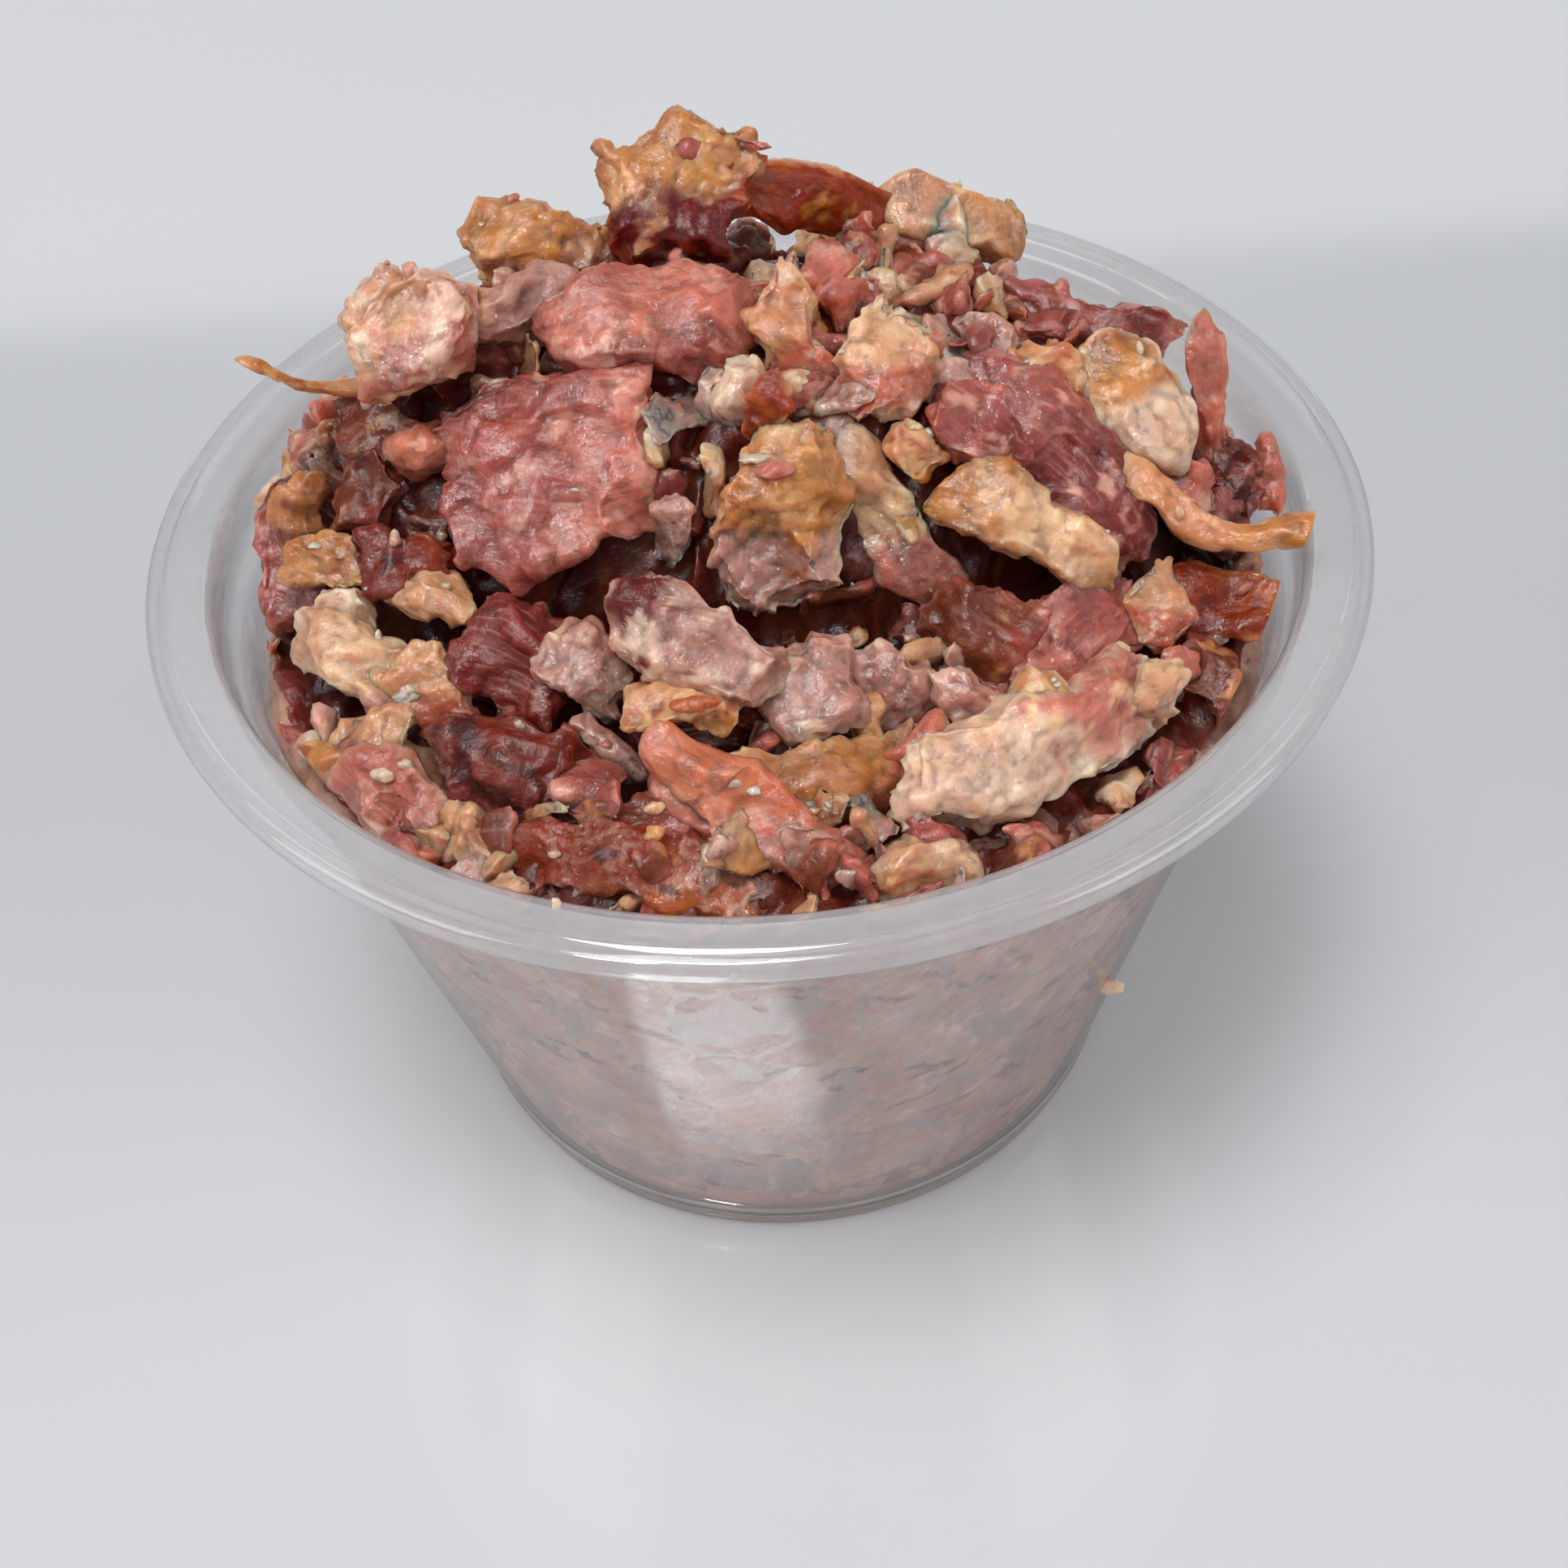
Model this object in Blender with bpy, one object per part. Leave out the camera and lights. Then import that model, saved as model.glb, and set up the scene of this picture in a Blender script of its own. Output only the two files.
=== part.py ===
"""A clear portion cup heaped with chopped fried bacon.

Run it with: blender --background --python part.py
+Z is up, and the origin is the centre of the cup's foot, on the table. Lengths are written in
millimetres and turned into metres as each mesh is made.
"""

import math
from collections import namedtuple

import bmesh
import bpy
import numpy as np

MM = 0.001

# The cup: a thin tapered wall, a stacking step near the top, a flat lip and a raised floor
RIM_RADIUS = 37.0
CUP_HEIGHT = 44.4
WALL = 0.5
LIP_WIDTH = 3.6
SKIRT_DROP = 1.3
STEP_DROP = 4.0
STEP_WIDTH = 0.8
FOOT_RADIUS = 22.8
FOOT_HEIGHT = 1.2
CUP_SIDES = 64

# The heap's core: it follows the cup's wall, and rises to a dome that is steeper in front
GAP = 0.3
SHELF_HEIGHT = 42.5
SHELF_FALL = 3.5
DOME_HEIGHT = 14.0
DOME_CENTRE = (-1.0, 5.0)
DOME_SIDE = 30.0
DOME_FRONT = 15.5
DOME_BACK = 17.0
DOME_SKEW = 0.5
DOME_POWER = 0.6
CORE_SIDES = 28
CORE_INSET = 1.3
CORE_ROUGHNESS = 0.6
CORE_SWELL = 9.0
SIDE_SHARES = (0.05, 0.2, 0.4, 0.6, 0.8, 1.0)
TOP_SHARES = (0.93, 0.82, 0.7, 0.56, 0.4, 0.22, 0.0)

# How the pieces are shaped: how square a slab is, where flat cuts take off its corners, how far
# its outline and faces stray, and the length of the swells in each
SQUARENESS = 3.2
FACETS = 9
FACET_DEPTH = (0.78, 0.94)
RAGGED = {
    "lean": 0.12,
    "pink": 0.10,
    "fat": 0.11,
    "mixed": 0.13,
    "marbled": 0.12,
    "brown": 0.15,
    "crust": 0.16,
    "rind": 0.09,
    "char": 0.13,
    "grey": 0.15,
}
OUTLINE_SWELL = 9.0
UNEVEN = 0.2
FACE_SWELL = 7.0
BUMP = 0.35
BUMP_SWELL = 5.0
CELL_LENGTH = 3.9
CELL_WIDTH = 3.3

# The room each piece keeps from the wall, which differs so that no two of them share a face
SPARE = (0.1, 0.5)
SPREAD = 0.618

# Each piece draws its numbers from its own seed, moved on by these for its faces, bumps and cuts
FACE_DRAW = 1000
BUMP_DRAW = 2000
FACET_DRAW = 3000

# A piece of bacon: what it is mostly made of, its length, width and thickness in millimetres,
# where its middle lies, the way it runs, the way its broad face looks, and how far its middle
# bows out of the straight line between its ends
Bit = namedtuple("Bit", "name kind size at way face bow", defaults=[(0, -1, 1), (0, 0, 0)])

HIGH = (0, -1, 1.6)
FRONT = (0, -1, 1)
LOW = (0, -1, 0.5)
LEFT = (-0.4, -1, 1)
RIGHT = (0.4, -1, 1)
UP = (0, 0, 1)

# The pieces that show in the photograph, from the top of the heap down to the front of the cup
PLACED = [
    Bit("crust_block", "crust", (9.6, 7, 4.6), (-3.4, 8, 61), (1, 0, 0)),
    Bit("rind_arch", "rind", (15, 4.2, 2), (5, 11, 58.5), (2, 1, -1.1), LOW, (0, 0, 0.5)),
    Bit("shaving", "lean", (7.5, 1.8, 1.1), (-1.5, 9, 63.6), (1, 0, 0), UP, (0, 0, 0.4)),
    Bit("back_chunk", "fat", (8.8, 4.2, 4), (13.5, 13, 55.5), (4, 0, -1), FRONT, (0, 0, 0.6)),
    Bit("back_tongue", "fat", (6.8, 3.4, 2.6), (13.6, 10.5, 54), (1, -1.2, -2.2)),
    Bit("back_lobe", "crust", (4, 2.8, 2), (16.8, 13.5, 53.8), (0.4, -0.3, -1)),
    Bit("back_crust", "crust", (8.6, 4.2, 3.6), (-11, 8.5, 58.3), (1, 0.1, -0.1)),
    Bit("marbled", "marbled", (8, 7.2, 6), (-18.5, 0, 58.3), (1, 0, 0)),
    Bit("marbled_tail", "brown", (6.8, 4.6, 4), (-12, 3.7, 57.2), (2, 1, -0.2)),
    Bit("curl_left", "rind", (9, 1.3, 1), (-25.4, 2.4, 53.3), (3, 0, -1), UP, (0, -0.5, -0.6)),
    Bit("brown_left", "brown", (5.6, 5, 3.4), (-22.2, 1.5, 51), (3, -2, -0.6)),
    Bit("lean_back", "lean", (11, 7, 3.4), (-5, 0.3, 57.5), (1, 0, -0.1), HIGH, (0, 0, 1.2)),
    Bit("lean_big", "lean", (14.4, 12.6, 4.4), (-11, -4.6, 52), (1, -0.1, 0), FRONT, (0, -0.5, 0.5)),
    Bit("salmon_left", "pink", (4.2, 3.4, 3), (-18.8, -1.5, 51.5), (1.7, 0.5, 1)),
    Bit("peach", "mixed", (8.2, 6.4, 3.6), (2.8, -0.7, 56), (0.4, -0.6, -1), FRONT, (0.4, -0.3, 0.3)),
    Bit("peach_crumb", "pink", (3.2, 2.8, 2.4), (5.6, 3.2, 56.8), (2.4, -1, -1)),
    Bit("two_tone", "mixed", (7.6, 5.6, 3.2), (7.8, -2.8, 55.7), (-0.4, -1, -1)),
    Bit("fat_knob", "fat", (4.4, 3.4, 3), (-0.6, -3.7, 54.5), (-0.2, -0.2, -1)),
    Bit("brown_tip", "crust", (4, 2.8, 2), (1.5, -5.6, 55.2), (0.35, 0.2, 1)),
    Bit("torn_sheet", "crust", (11.4, 8.2, 2.6), (1, -8.8, 49.5), (-0.2, -0.5, -1), LOW, (0, -0.3, 0.2)),
    Bit("beige_tongue", "fat", (11.8, 5.6, 2.2), (7.8, -7.6, 48), (0.45, -0.4, -1), LOW, (0.4, -0.6, 0.4)),
    Bit("ochre_knot", "crust", (4, 3, 2.6), (9.4, -6, 51.4), (1.4, -1, -1)),
    Bit("fat_strip", "fat", (13.2, 4.6, 3), (15.4, -8.6, 48.6), (1.8, -0.5, -1), FRONT, (0.5, -0.2, 1.2)),
    Bit("lean_bend", "lean", (17, 6.6, 3), (17.5, -3.8, 49.5), (1.7, -1, -1.2), RIGHT, (1.2, 0.5, 2.4)),
    Bit("lean_corner", "lean", (6.8, 5.4, 2.8), (12.6, -4.4, 52.2), (1, -0.3, -0.5), RIGHT),
    Bit("lean_end", "lean", (11.5, 5.4, 2.8), (18, -12.5, 42.2), (-1.5, -1, -0.5), RIGHT),
    Bit("grey_crumb", "grey", (4.4, 3.8, 3), (14.2, 2, 52.6), (1.2, -0.8, -1)),
    Bit("orange_block", "mixed", (6.2, 5.2, 4), (18.4, 0.5, 51.3), (1, -0.8, -0.9)),
    Bit("fat_sparkle", "fat", (8.4, 6, 3.6), (23, -1, 51), (0.7, -0.9, -1), FRONT, (0.3, -0.2, 0.3)),
    Bit("spike_right", "pink", (9.4, 2.2, 1.8), (27.4, 1.2, 49.4), (0, -0.4, -1)),
    Bit("lean_far", "lean", (11.8, 4.4, 3.2), (20.6, 6.6, 51.2), (4, -1, -0.6)),
    Bit("curl_right", "rind", (13.5, 2.6, 1.5), (26, -8.2, 46.5), (5, -2.8, -1), RIGHT, (-1, -2, -2.6)),
    Bit("pink_bed", "pink", (5, 4.6, 3), (25, -3.5, 46.3), (1.5, -0.4, -1)),
    Bit("char_nub", "char", (4.4, 3.4, 2.8), (29.1, -2, 44.9), (0.5, -0.6, -1)),
    Bit("pink_edge", "pink", (4.8, 2, 1.6), (31, -1.5, 44.6), (0, -0.9, -1)),
    Bit("rind_right", "rind", (7, 4.8, 3), (27.2, -9.5, 41.8), (2.7, -1, 0.5), RIGHT),
    Bit("beige_flake", "mixed", (5.6, 3.8, 2.4), (22.8, -10.5, 43.2), (0.8, -0.9, -1), RIGHT),
    Bit("brown_low_right", "brown", (4.6, 4.4, 3.4), (25.4, -14.5, 40), (0.9, -1.2, -1), RIGHT),
    Bit("front_right", "mixed", (16.6, 6.4, 4.6), (13.4, -22, 42.2), (2.3, 1, 0), FRONT, (0, -0.5, 0.3)),
    Bit("front_right_knob", "fat", (4.6, 4.4, 4.2), (21.3, -17.3, 42.6), (3, -1, -0.6)),
    Bit("front_right_cap", "fat", (4.2, 3.6, 3.2), (15, -20, 44), (1, 1, 0.35), LEFT),
    Bit("front_hollow", "mixed", (15, 5.4, 2.2), (4, -21.8, 41.4), (4.5, 1, -0.9), FRONT, (-0.6, -2.4, -1)),
    Bit("pink_strip", "pink", (13.4, 4.2, 2.8), (-0.9, -24.9, 42.2), (1.6, -0.8, -1), RIGHT),
    Bit("pink_split", "pink", (5.2, 1.8, 1.6), (-4.4, -23.8, 42.1), (1.8, -1.1, -1), RIGHT),
    Bit("dark_slab", "char", (9.6, 7, 4), (-13.5, -19.8, 42), (3, -1, -0.2), LEFT, (0, 0.5, 0.6)),
    Bit("dark_slab_front", "char", (15.2, 4.8, 4), (-7, -26, 40.3), (3.2, -1, -0.35), FRONT, (0, -0.2, 0.7)),
    Bit("dark_ridge", "brown", (7.2, 3, 2.4), (-7.4, -24, 41.9), (3.4, -1, -0.3)),
    Bit("dark_crust", "crust", (5.6, 3.6, 2.8), (-16.5, -22.6, 39.9), (0.8, -1, -0.5), LEFT),
    Bit("crust_left", "crust", (12.6, 3.4, 3), (-22.6, -7, 46.9), (1.8, -1, 0.1), LEFT, (0, 0, 1.2)),
    Bit("fat_lump", "fat", (3.6, 3.2, 2.8), (-24.3, -8.7, 45.6), (1, -0.2, 0.1), LEFT),
    Bit("beige_left", "mixed", (10, 5.2, 3.8), (-23.2, -11.5, 43.3), (1.7, -1, -0.3), LEFT),
    Bit("beige_left_low", "mixed", (6, 4.4, 3.2), (-19.9, -13.2, 43.2), (1.3, -1.2, -1), LEFT),
    Bit("spike_left", "brown", (7.4, 2.4, 1.8), (-27.3, -2, 46.8), (-0.2, -0.3, -1)),
    Bit("red_left", "brown", (6.2, 4.6, 3.4), (-23.2, -1.8, 48.1), (1.5, 0, 1)),
    Bit("dark_left", "char", (6, 4.4, 3), (-20, -7.5, 47.5), (1, -0.2, 0), LEFT),
    Bit("crust_low_left", "crust", (8.3, 3.2, 2.2), (-23.5, -17, 41.8), (2.3, 0, 1), LEFT, (0, -1, 0)),
    Bit("pink_low_left", "pink", (6.2, 5.4, 3.8), (-21.8, -19.9, 40.8), (0.7, -1, -0.5), LEFT),
    Bit("lean_dark", "lean", (7.6, 7.6, 4), (-14.3, -13, 44.3), (2, -1, -0.4)),
    Bit("grey_fat", "grey", (6, 4.6, 3.4), (-10, -15.3, 45.1), (1.2, -1, -0.9)),
    Bit("middle_chunk", "marbled", (9.4, 6, 4.6), (-3.8, -16.5, 47.7), (2.5, -1, -0.8), FRONT, (0, 0, 0.4)),
    Bit("middle_crust", "crust", (5.6, 3, 2.8), (-4.3, -19.5, 45.7), (1, -0.2, 0)),
    Bit("grey_knob", "grey", (6, 4.8, 4), (2.8, -16.9, 44.3), (1.3, -0.8, -1)),
    Bit("grey_slab", "grey", (6.8, 6.4, 3.4), (7.1, -15.8, 42.3), (2.2, -1, -1), LOW),
    Bit("flakes", "grey", (5.2, 3.4, 2.4), (11.5, -17.8, 42.7), (1.5, -1, -1), LOW),
    Bit("crystals", "fat", (6.4, 3.8, 3), (7.7, -27.2, 40.7), (1, 0.1, 0)),
    Bit("ragged_mid", "brown", (8.2, 6.4, 3.2), (13, -12.5, 42.7), (2, -0.9, -1), LOW),
]

# Pieces that lie under the ones above, in the gaps between them and the core
BEDS = [
    Bit("top_bed", "brown", (8, 5.4, 4.4), (-3.5, 7.8, 56.4), (1, 0, 0)),
    Bit("arch_bed", "brown", (6.4, 4, 3.6), (11.5, 12, 53), (1, 0.2, -0.4)),
    Bit("marbled_bed", "brown", (6.4, 5, 5), (-17, 2.2, 54.2), (1, 0.2, 0)),
    Bit("middle_bed", "lean", (7.6, 6.5, 6), (-4.5, -15.8, 42.2), (3, -1, 0)),
    Bit("right_bed", "lean", (9.6, 6, 5), (27.5, 0, 44.5), (0.25, -1, -0.6)),
    Bit("left_bed", "lean", (8.8, 6, 5), (-27, -1.5, 44), (-0.15, -1, -0.7)),
]

# Pieces that no one placed: how many lie in each row against the wall, and in each arc over
# the back of the heap, with the row's height or the arc's radius
WALL_ROWS = [(7.0, 5), (15.0, 6), (23.0, 7), (31.5, 8)]
BACK_ARCS = [(28.0, 11), (21.5, 8), (14.5, 4)]
ARC_START = 6.0
ARC_SPAN = 168.0
ARC_SINK = 0.2
LOOSE_LENGTH = (5.5, 9.5)
LOOSE_WIDTH = (4.6, 7.0)
LOOSE_THICKNESS = (2.6, 4.0)
LOOSE_BOW = (-0.8, 1.2)
LOOSE_KINDS = ["lean", "lean", "pink", "fat", "mixed", "mixed", "marbled", "brown", "crust"]
SEED = 7


def inner_radius(height):
    """The radius of the cup's tapered inner wall at a height, as if it had no step."""
    foot = FOOT_RADIUS - WALL
    top = RIM_RADIUS - LIP_WIDTH - 2 * STEP_WIDTH
    return foot + (top - foot) * (height - FOOT_HEIGHT) / (CUP_HEIGHT - STEP_DROP - FOOT_HEIGHT)


def cup_floor():
    """The height that the contents rest at, just clear of the cup's floor."""
    return FOOT_HEIGHT + WALL + GAP


def surface(name, colour, roughness, alpha=1.0):
    """A plain Principled material."""
    material = bpy.data.materials.new(name)
    material.use_nodes = True
    shader = material.node_tree.nodes["Principled BSDF"]
    shader.inputs["Base Color"].default_value = (*colour, 1.0)
    shader.inputs["Roughness"].default_value = roughness
    shader.inputs["Metallic"].default_value = 0.0
    shader.inputs["Alpha"].default_value = alpha
    return material


def mesh_object(name, points, faces, material):
    """A mesh object from points in millimetres, cut into triangles."""
    mesh = bpy.data.meshes.new(name)
    mesh.from_pydata((np.asarray(points) * MM).tolist(), [], faces)
    mesh.materials.append(material)
    shape = bmesh.new()
    shape.from_mesh(mesh)
    bmesh.ops.triangulate(shape, faces=shape.faces)
    bmesh.ops.recalc_face_normals(shape, faces=shape.faces)
    shape.to_mesh(mesh)
    shape.free()
    return bpy.data.objects.new(name, mesh)


def turned(profile, sides):
    """Points and faces of a section spun about Z. It starts and ends on the axis."""
    points = []
    rings = []
    for radius, height in profile:
        count = sides if radius > 0 else 1
        rings.append([len(points) + i % count for i in range(sides)])
        for i in range(count):
            angle = 2 * math.pi * i / sides
            points.append((radius * math.cos(angle), radius * math.sin(angle), height))
    faces = []
    for lower, upper in zip(rings, rings[1:]):
        for i in range(sides):
            j = (i + 1) % sides
            corners = [lower[i], upper[i], upper[j], lower[j]]
            faces.append(list(dict.fromkeys(corners)))
    return points, faces


def cup_profile():
    """The cup's closed section as (radius, height), up the inside and down the outside."""
    top = RIM_RADIUS - LIP_WIDTH
    step = CUP_HEIGHT - STEP_DROP
    below_step = top - 2 * STEP_WIDTH
    floor = FOOT_HEIGHT + WALL
    inside = [
        (0.0, floor),
        (inner_radius(floor) - 1.2, floor),
        (inner_radius(floor) - 0.2, floor + 0.6),
        (inner_radius(floor + 1.8), floor + 1.8),
        (below_step, step - 0.5),
        (top - STEP_WIDTH, step),
        (top - 0.3, CUP_HEIGHT - 0.6),
        (top, CUP_HEIGHT),
        (RIM_RADIUS - 0.4, CUP_HEIGHT),
        (RIM_RADIUS, CUP_HEIGHT - 0.35),
    ]
    outside = [
        (RIM_RADIUS, CUP_HEIGHT - SKIRT_DROP),
        (RIM_RADIUS - WALL, CUP_HEIGHT - SKIRT_DROP),
        (RIM_RADIUS - WALL, CUP_HEIGHT - WALL - 0.2),
        (top + 0.5 * WALL, CUP_HEIGHT - WALL),
        (top - STEP_WIDTH + WALL, step),
        (below_step + WALL, step - WALL - 0.3),
        (FOOT_RADIUS, 0.6),
        (FOOT_RADIUS - 0.3, 0.0),
        (FOOT_RADIUS - 1.6, 0.0),
        (FOOT_RADIUS - 2.0, FOOT_HEIGHT),
        (0.0, FOOT_HEIGHT),
    ]
    return inside + outside


def make_cup():
    """The clear cup, as one turned shell."""
    points, faces = turned(cup_profile(), CUP_SIDES)
    plastic = surface("clear_plastic", (0.86, 0.87, 0.88), 0.12, alpha=0.35)
    cup = mesh_object("clear_cup", points, faces, plastic)
    cup.data.shade_smooth()
    cup.data.set_sharp_from_angle(angle=math.radians(35))
    bpy.context.scene.collection.objects.link(cup)


def waves(points, length, seed):
    """Smooth noise of about -1 to 1 at each point, with swells of about the given length."""
    draw = np.random.default_rng(seed)
    ways = draw.normal(size=(8, 3))
    ways *= draw.uniform(0.6, 1.4, size=(8, 1)) / np.linalg.norm(ways, axis=1, keepdims=True)
    phases = draw.uniform(0, 2 * math.pi, 8)
    return np.sin(points @ ways.T * (2 * math.pi / length) + phases).sum(axis=1) / 3


def core_top(x, y):
    """The height of the core under the pieces: a shelf that falls to the wall, and a dome."""
    shelf = SHELF_HEIGHT - SHELF_FALL * (x * x + y * y) / inner_radius(SHELF_HEIGHT) ** 2
    side = (x - DOME_CENTRE[0]) / DOME_SIDE
    ahead = y - DOME_CENTRE[1]
    ahead /= DOME_BACK * (1 - DOME_SKEW * max(side, 0.0)) if ahead > 0 else DOME_FRONT
    return shelf + DOME_HEIGHT * max(0.0, 1 - side * side - ahead * ahead) ** DOME_POWER


def core_profile():
    """The core's section: its floor and its side, then level rings over the top."""
    floor = cup_floor()
    top = SHELF_HEIGHT - SHELF_FALL
    foot = inner_radius(floor) - GAP - CORE_INSET
    profile = [(0.0, floor), (0.5 * foot, floor), (foot - 0.8, floor)]
    for share in SIDE_SHARES:
        height = floor + (top - floor) * share
        profile.append((inner_radius(height) - GAP - CORE_INSET, height))
    edge = profile[-1][0]
    for share in TOP_SHARES:
        profile.append((edge * share, top + 1))
    return profile


def make_core(material):
    """The lumpy mass that the pieces are fused to."""
    points, faces = turned(core_profile(), CORE_SIDES)
    points = np.array(points)
    lumps = CORE_ROUGHNESS * waves(points, CORE_SWELL, SEED)
    over = points[:, 2] > SHELF_HEIGHT - SHELF_FALL + 0.5
    wall = (points[:, 2] > cup_floor()) & ~over
    radius = np.hypot(points[:, 0], points[:, 1])
    most = CORE_INSET - 0.4
    points[wall, :2] *= (1 + np.minimum(lumps, most) / np.maximum(radius, 1.0))[wall, None]
    points[over, 2] = [core_top(x, y) for x, y in points[over, :2]]
    points[over, 2] += lumps[over]
    return mesh_object("bacon_heap", points, faces, material)


def block(cells):
    """The surface of a cube from -1 to 1, cut into cells along each axis, as points and faces."""
    index = {}
    faces = []
    for axis in range(3):
        u, v = (axis + 1) % 3, (axis + 2) % 3
        for side in (0, cells[axis]):
            for i in range(cells[u]):
                for j in range(cells[v]):
                    quad = []
                    for along, across in ((i, j), (i + 1, j), (i + 1, j + 1), (i, j + 1)):
                        corner = [0, 0, 0]
                        corner[axis], corner[u], corner[v] = side, along, across
                        quad.append(index.setdefault(tuple(corner), len(index)))
                    faces.append(quad)
    return 2 * np.array(list(index)) / np.array(cells) - 1, faces


def unit(vectors):
    """The same vectors, each one unit long."""
    vectors = np.asarray(vectors, dtype=float)
    return vectors / np.linalg.norm(vectors, axis=-1, keepdims=True)


def cut_flat(points, size, seed):
    """A slab's points with its corners taken off by a few flat cuts, as torn meat has."""
    draw = np.random.default_rng(seed + FACET_DRAW)
    dual = SQUARENESS / (SQUARENESS - 1)
    for way in unit(draw.normal(size=(FACETS, 3)) * np.array(size)[::-1]):
        reach = (np.abs(way * np.array(size) / 2) ** dual).sum() ** (1 / dual)
        over = np.maximum(points @ way - reach * draw.uniform(*FACET_DEPTH), 0)
        points = points - over[:, None] * way
    return points


def slab(bit, seed, points):
    """A cube's points turned into a rounded, ragged slab that lies and bows as the piece does."""
    size = (np.abs(points) ** SQUARENESS).sum(axis=1) ** (1 / SQUARENESS)
    flat = cut_flat(points / size[:, None] * np.array(bit.size) / 2, bit.size, seed)
    level = flat * np.array([1, 1, 0])
    flat[:, :2] *= 1 + RAGGED[bit.kind] * waves(level, OUTLINE_SWELL, seed)[:, None]
    flat[:, 2] *= 1 + UNEVEN * waves(level, FACE_SWELL, seed + FACE_DRAW)
    share = flat[:, :1] / bit.size[0]
    bow = np.array(bit.bow)
    middle = np.array(bit.at) + unit(bit.way) * flat[:, :1] - 4 * bow * share**2
    way = unit(unit(bit.way) * bit.size[0] - 8 * bow * share)
    side = unit(np.cross(bit.face, way))
    at = middle + side * flat[:, 1:2] + np.cross(way, side) * flat[:, 2:]
    bumps = [waves(at, BUMP_SWELL, seed + BUMP_DRAW + axis) for axis in range(3)]
    return at + BUMP * np.stack(bumps, axis=1)


def held_in_cup(points, seed):
    """The same points, kept off the cup's wall and floor with some room to spare."""
    spare = SPARE[0] + SPARE[1] * (SPREAD * seed % 1.0)
    height = np.maximum(points[:, 2], cup_floor() + spare)
    limit = inner_radius(height) - GAP - spare
    scale = np.minimum(1.0, limit / np.maximum(np.hypot(points[:, 0], points[:, 1]), 0.1))
    return np.column_stack([points[:, :2] * scale[:, None], height])


def loose_bit(name, centre, face, draw):
    """A piece of random size and turn, lying with its face the given way."""
    face = unit(face)
    side = unit(np.cross(face, (0.3, 0.5, 0.8)))
    turn = draw.uniform(0, math.pi)
    way = side * math.cos(turn) + np.cross(face, side) * math.sin(turn)
    size = [draw.uniform(*sizes) for sizes in (LOOSE_LENGTH, LOOSE_WIDTH, LOOSE_THICKNESS)]
    kind = LOOSE_KINDS[draw.integers(len(LOOSE_KINDS))]
    return Bit(name, kind, size, centre, way, face, face * draw.uniform(*LOOSE_BOW))


def loose_bits():
    """The pieces behind the wall and over the back of the heap, spread evenly by rows."""
    draw = np.random.default_rng(SEED)
    bits = []
    for height, count in WALL_ROWS:
        start = draw.uniform()
        for i in range(count):
            angle = 2 * math.pi * (i + start + draw.uniform(-0.2, 0.2)) / count
            tall = height + draw.uniform(-1.5, 1.5)
            radius = inner_radius(tall) - GAP - CORE_INSET
            face = (math.cos(angle), math.sin(angle), -0.2)
            centre = (radius * math.cos(angle), radius * math.sin(angle), tall)
            bits.append(loose_bit(f"wall_{height:.0f}_{i}", centre, face, draw))
    for radius, count in BACK_ARCS:
        for i in range(count):
            angle = math.radians(ARC_START + ARC_SPAN * (i + 0.5 + draw.uniform(-0.3, 0.3)) / count)
            x, y = radius * math.cos(angle), radius * math.sin(angle)
            centre = (x, y, core_top(x, y) - ARC_SINK)
            face = (0.6 * math.cos(angle), 0.6 * math.sin(angle), 1.0)
            bits.append(loose_bit(f"back_{radius:.0f}_{i}", centre, face, draw))
    return bits


def cells_for(bit):
    """How finely a piece is cut: more cells along a longer or wider one."""
    length, width, thick = bit.size
    along = round(length / CELL_LENGTH)
    across = round(width / CELL_WIDTH)
    return min(max(along, 2), 5), min(max(across, 1), 4), 1 if thick < 3 else 2


def keep_largest(mesh):
    """Drops loose scraps and fills sealed hollows, by keeping the largest shell alone."""
    shape = bmesh.new()
    shape.from_mesh(mesh)
    left = set(shape.verts)
    largest = set()
    while left:
        shell = {left.pop()}
        front = list(shell)
        while front:
            vert = front.pop()
            near = {edge.other_vert(vert) for edge in vert.link_edges} & left
            left -= near
            shell |= near
            front.extend(near)
        largest = max(largest, shell, key=len)
    bmesh.ops.delete(shape, geom=[v for v in shape.verts if v not in largest], context="VERTS")
    bmesh.ops.triangulate(shape, faces=shape.faces)
    shape.to_mesh(mesh)
    shape.free()


def fuse(target, pieces):
    """Joins the pieces to the target by one Boolean union, and removes them."""
    group = bpy.data.collections.new("pieces")
    for piece in pieces:
        group.objects.link(piece)
    union = target.modifiers.new("fuse", "BOOLEAN")
    union.operation = "UNION"
    union.operand_type = "COLLECTION"
    union.collection = group
    union.solver = "MANIFOLD"
    fused = bpy.data.meshes.new_from_object(target.evaluated_get(bpy.context.evaluated_depsgraph_get()))
    target.modifiers.clear()
    target.data = fused
    for piece in pieces:
        bpy.data.objects.remove(piece)
    bpy.data.collections.remove(group)


def make_heap():
    """The heap of chopped bacon, fused into one solid."""
    meat = surface("bacon", (0.50, 0.24, 0.17), 0.4)
    heap = make_core(meat)
    bpy.context.scene.collection.objects.link(heap)
    pieces = []
    for seed, bit in enumerate(PLACED + BEDS + loose_bits()):
        points, faces = block(cells_for(bit))
        points = held_in_cup(slab(bit, seed, points), seed)
        pieces.append(mesh_object(bit.name, points, faces, meat))
    fuse(heap, pieces)
    keep_largest(heap.data)


def main():
    for old in list(bpy.data.objects):
        bpy.data.objects.remove(old)
    make_cup()
    make_heap()


main()
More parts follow.
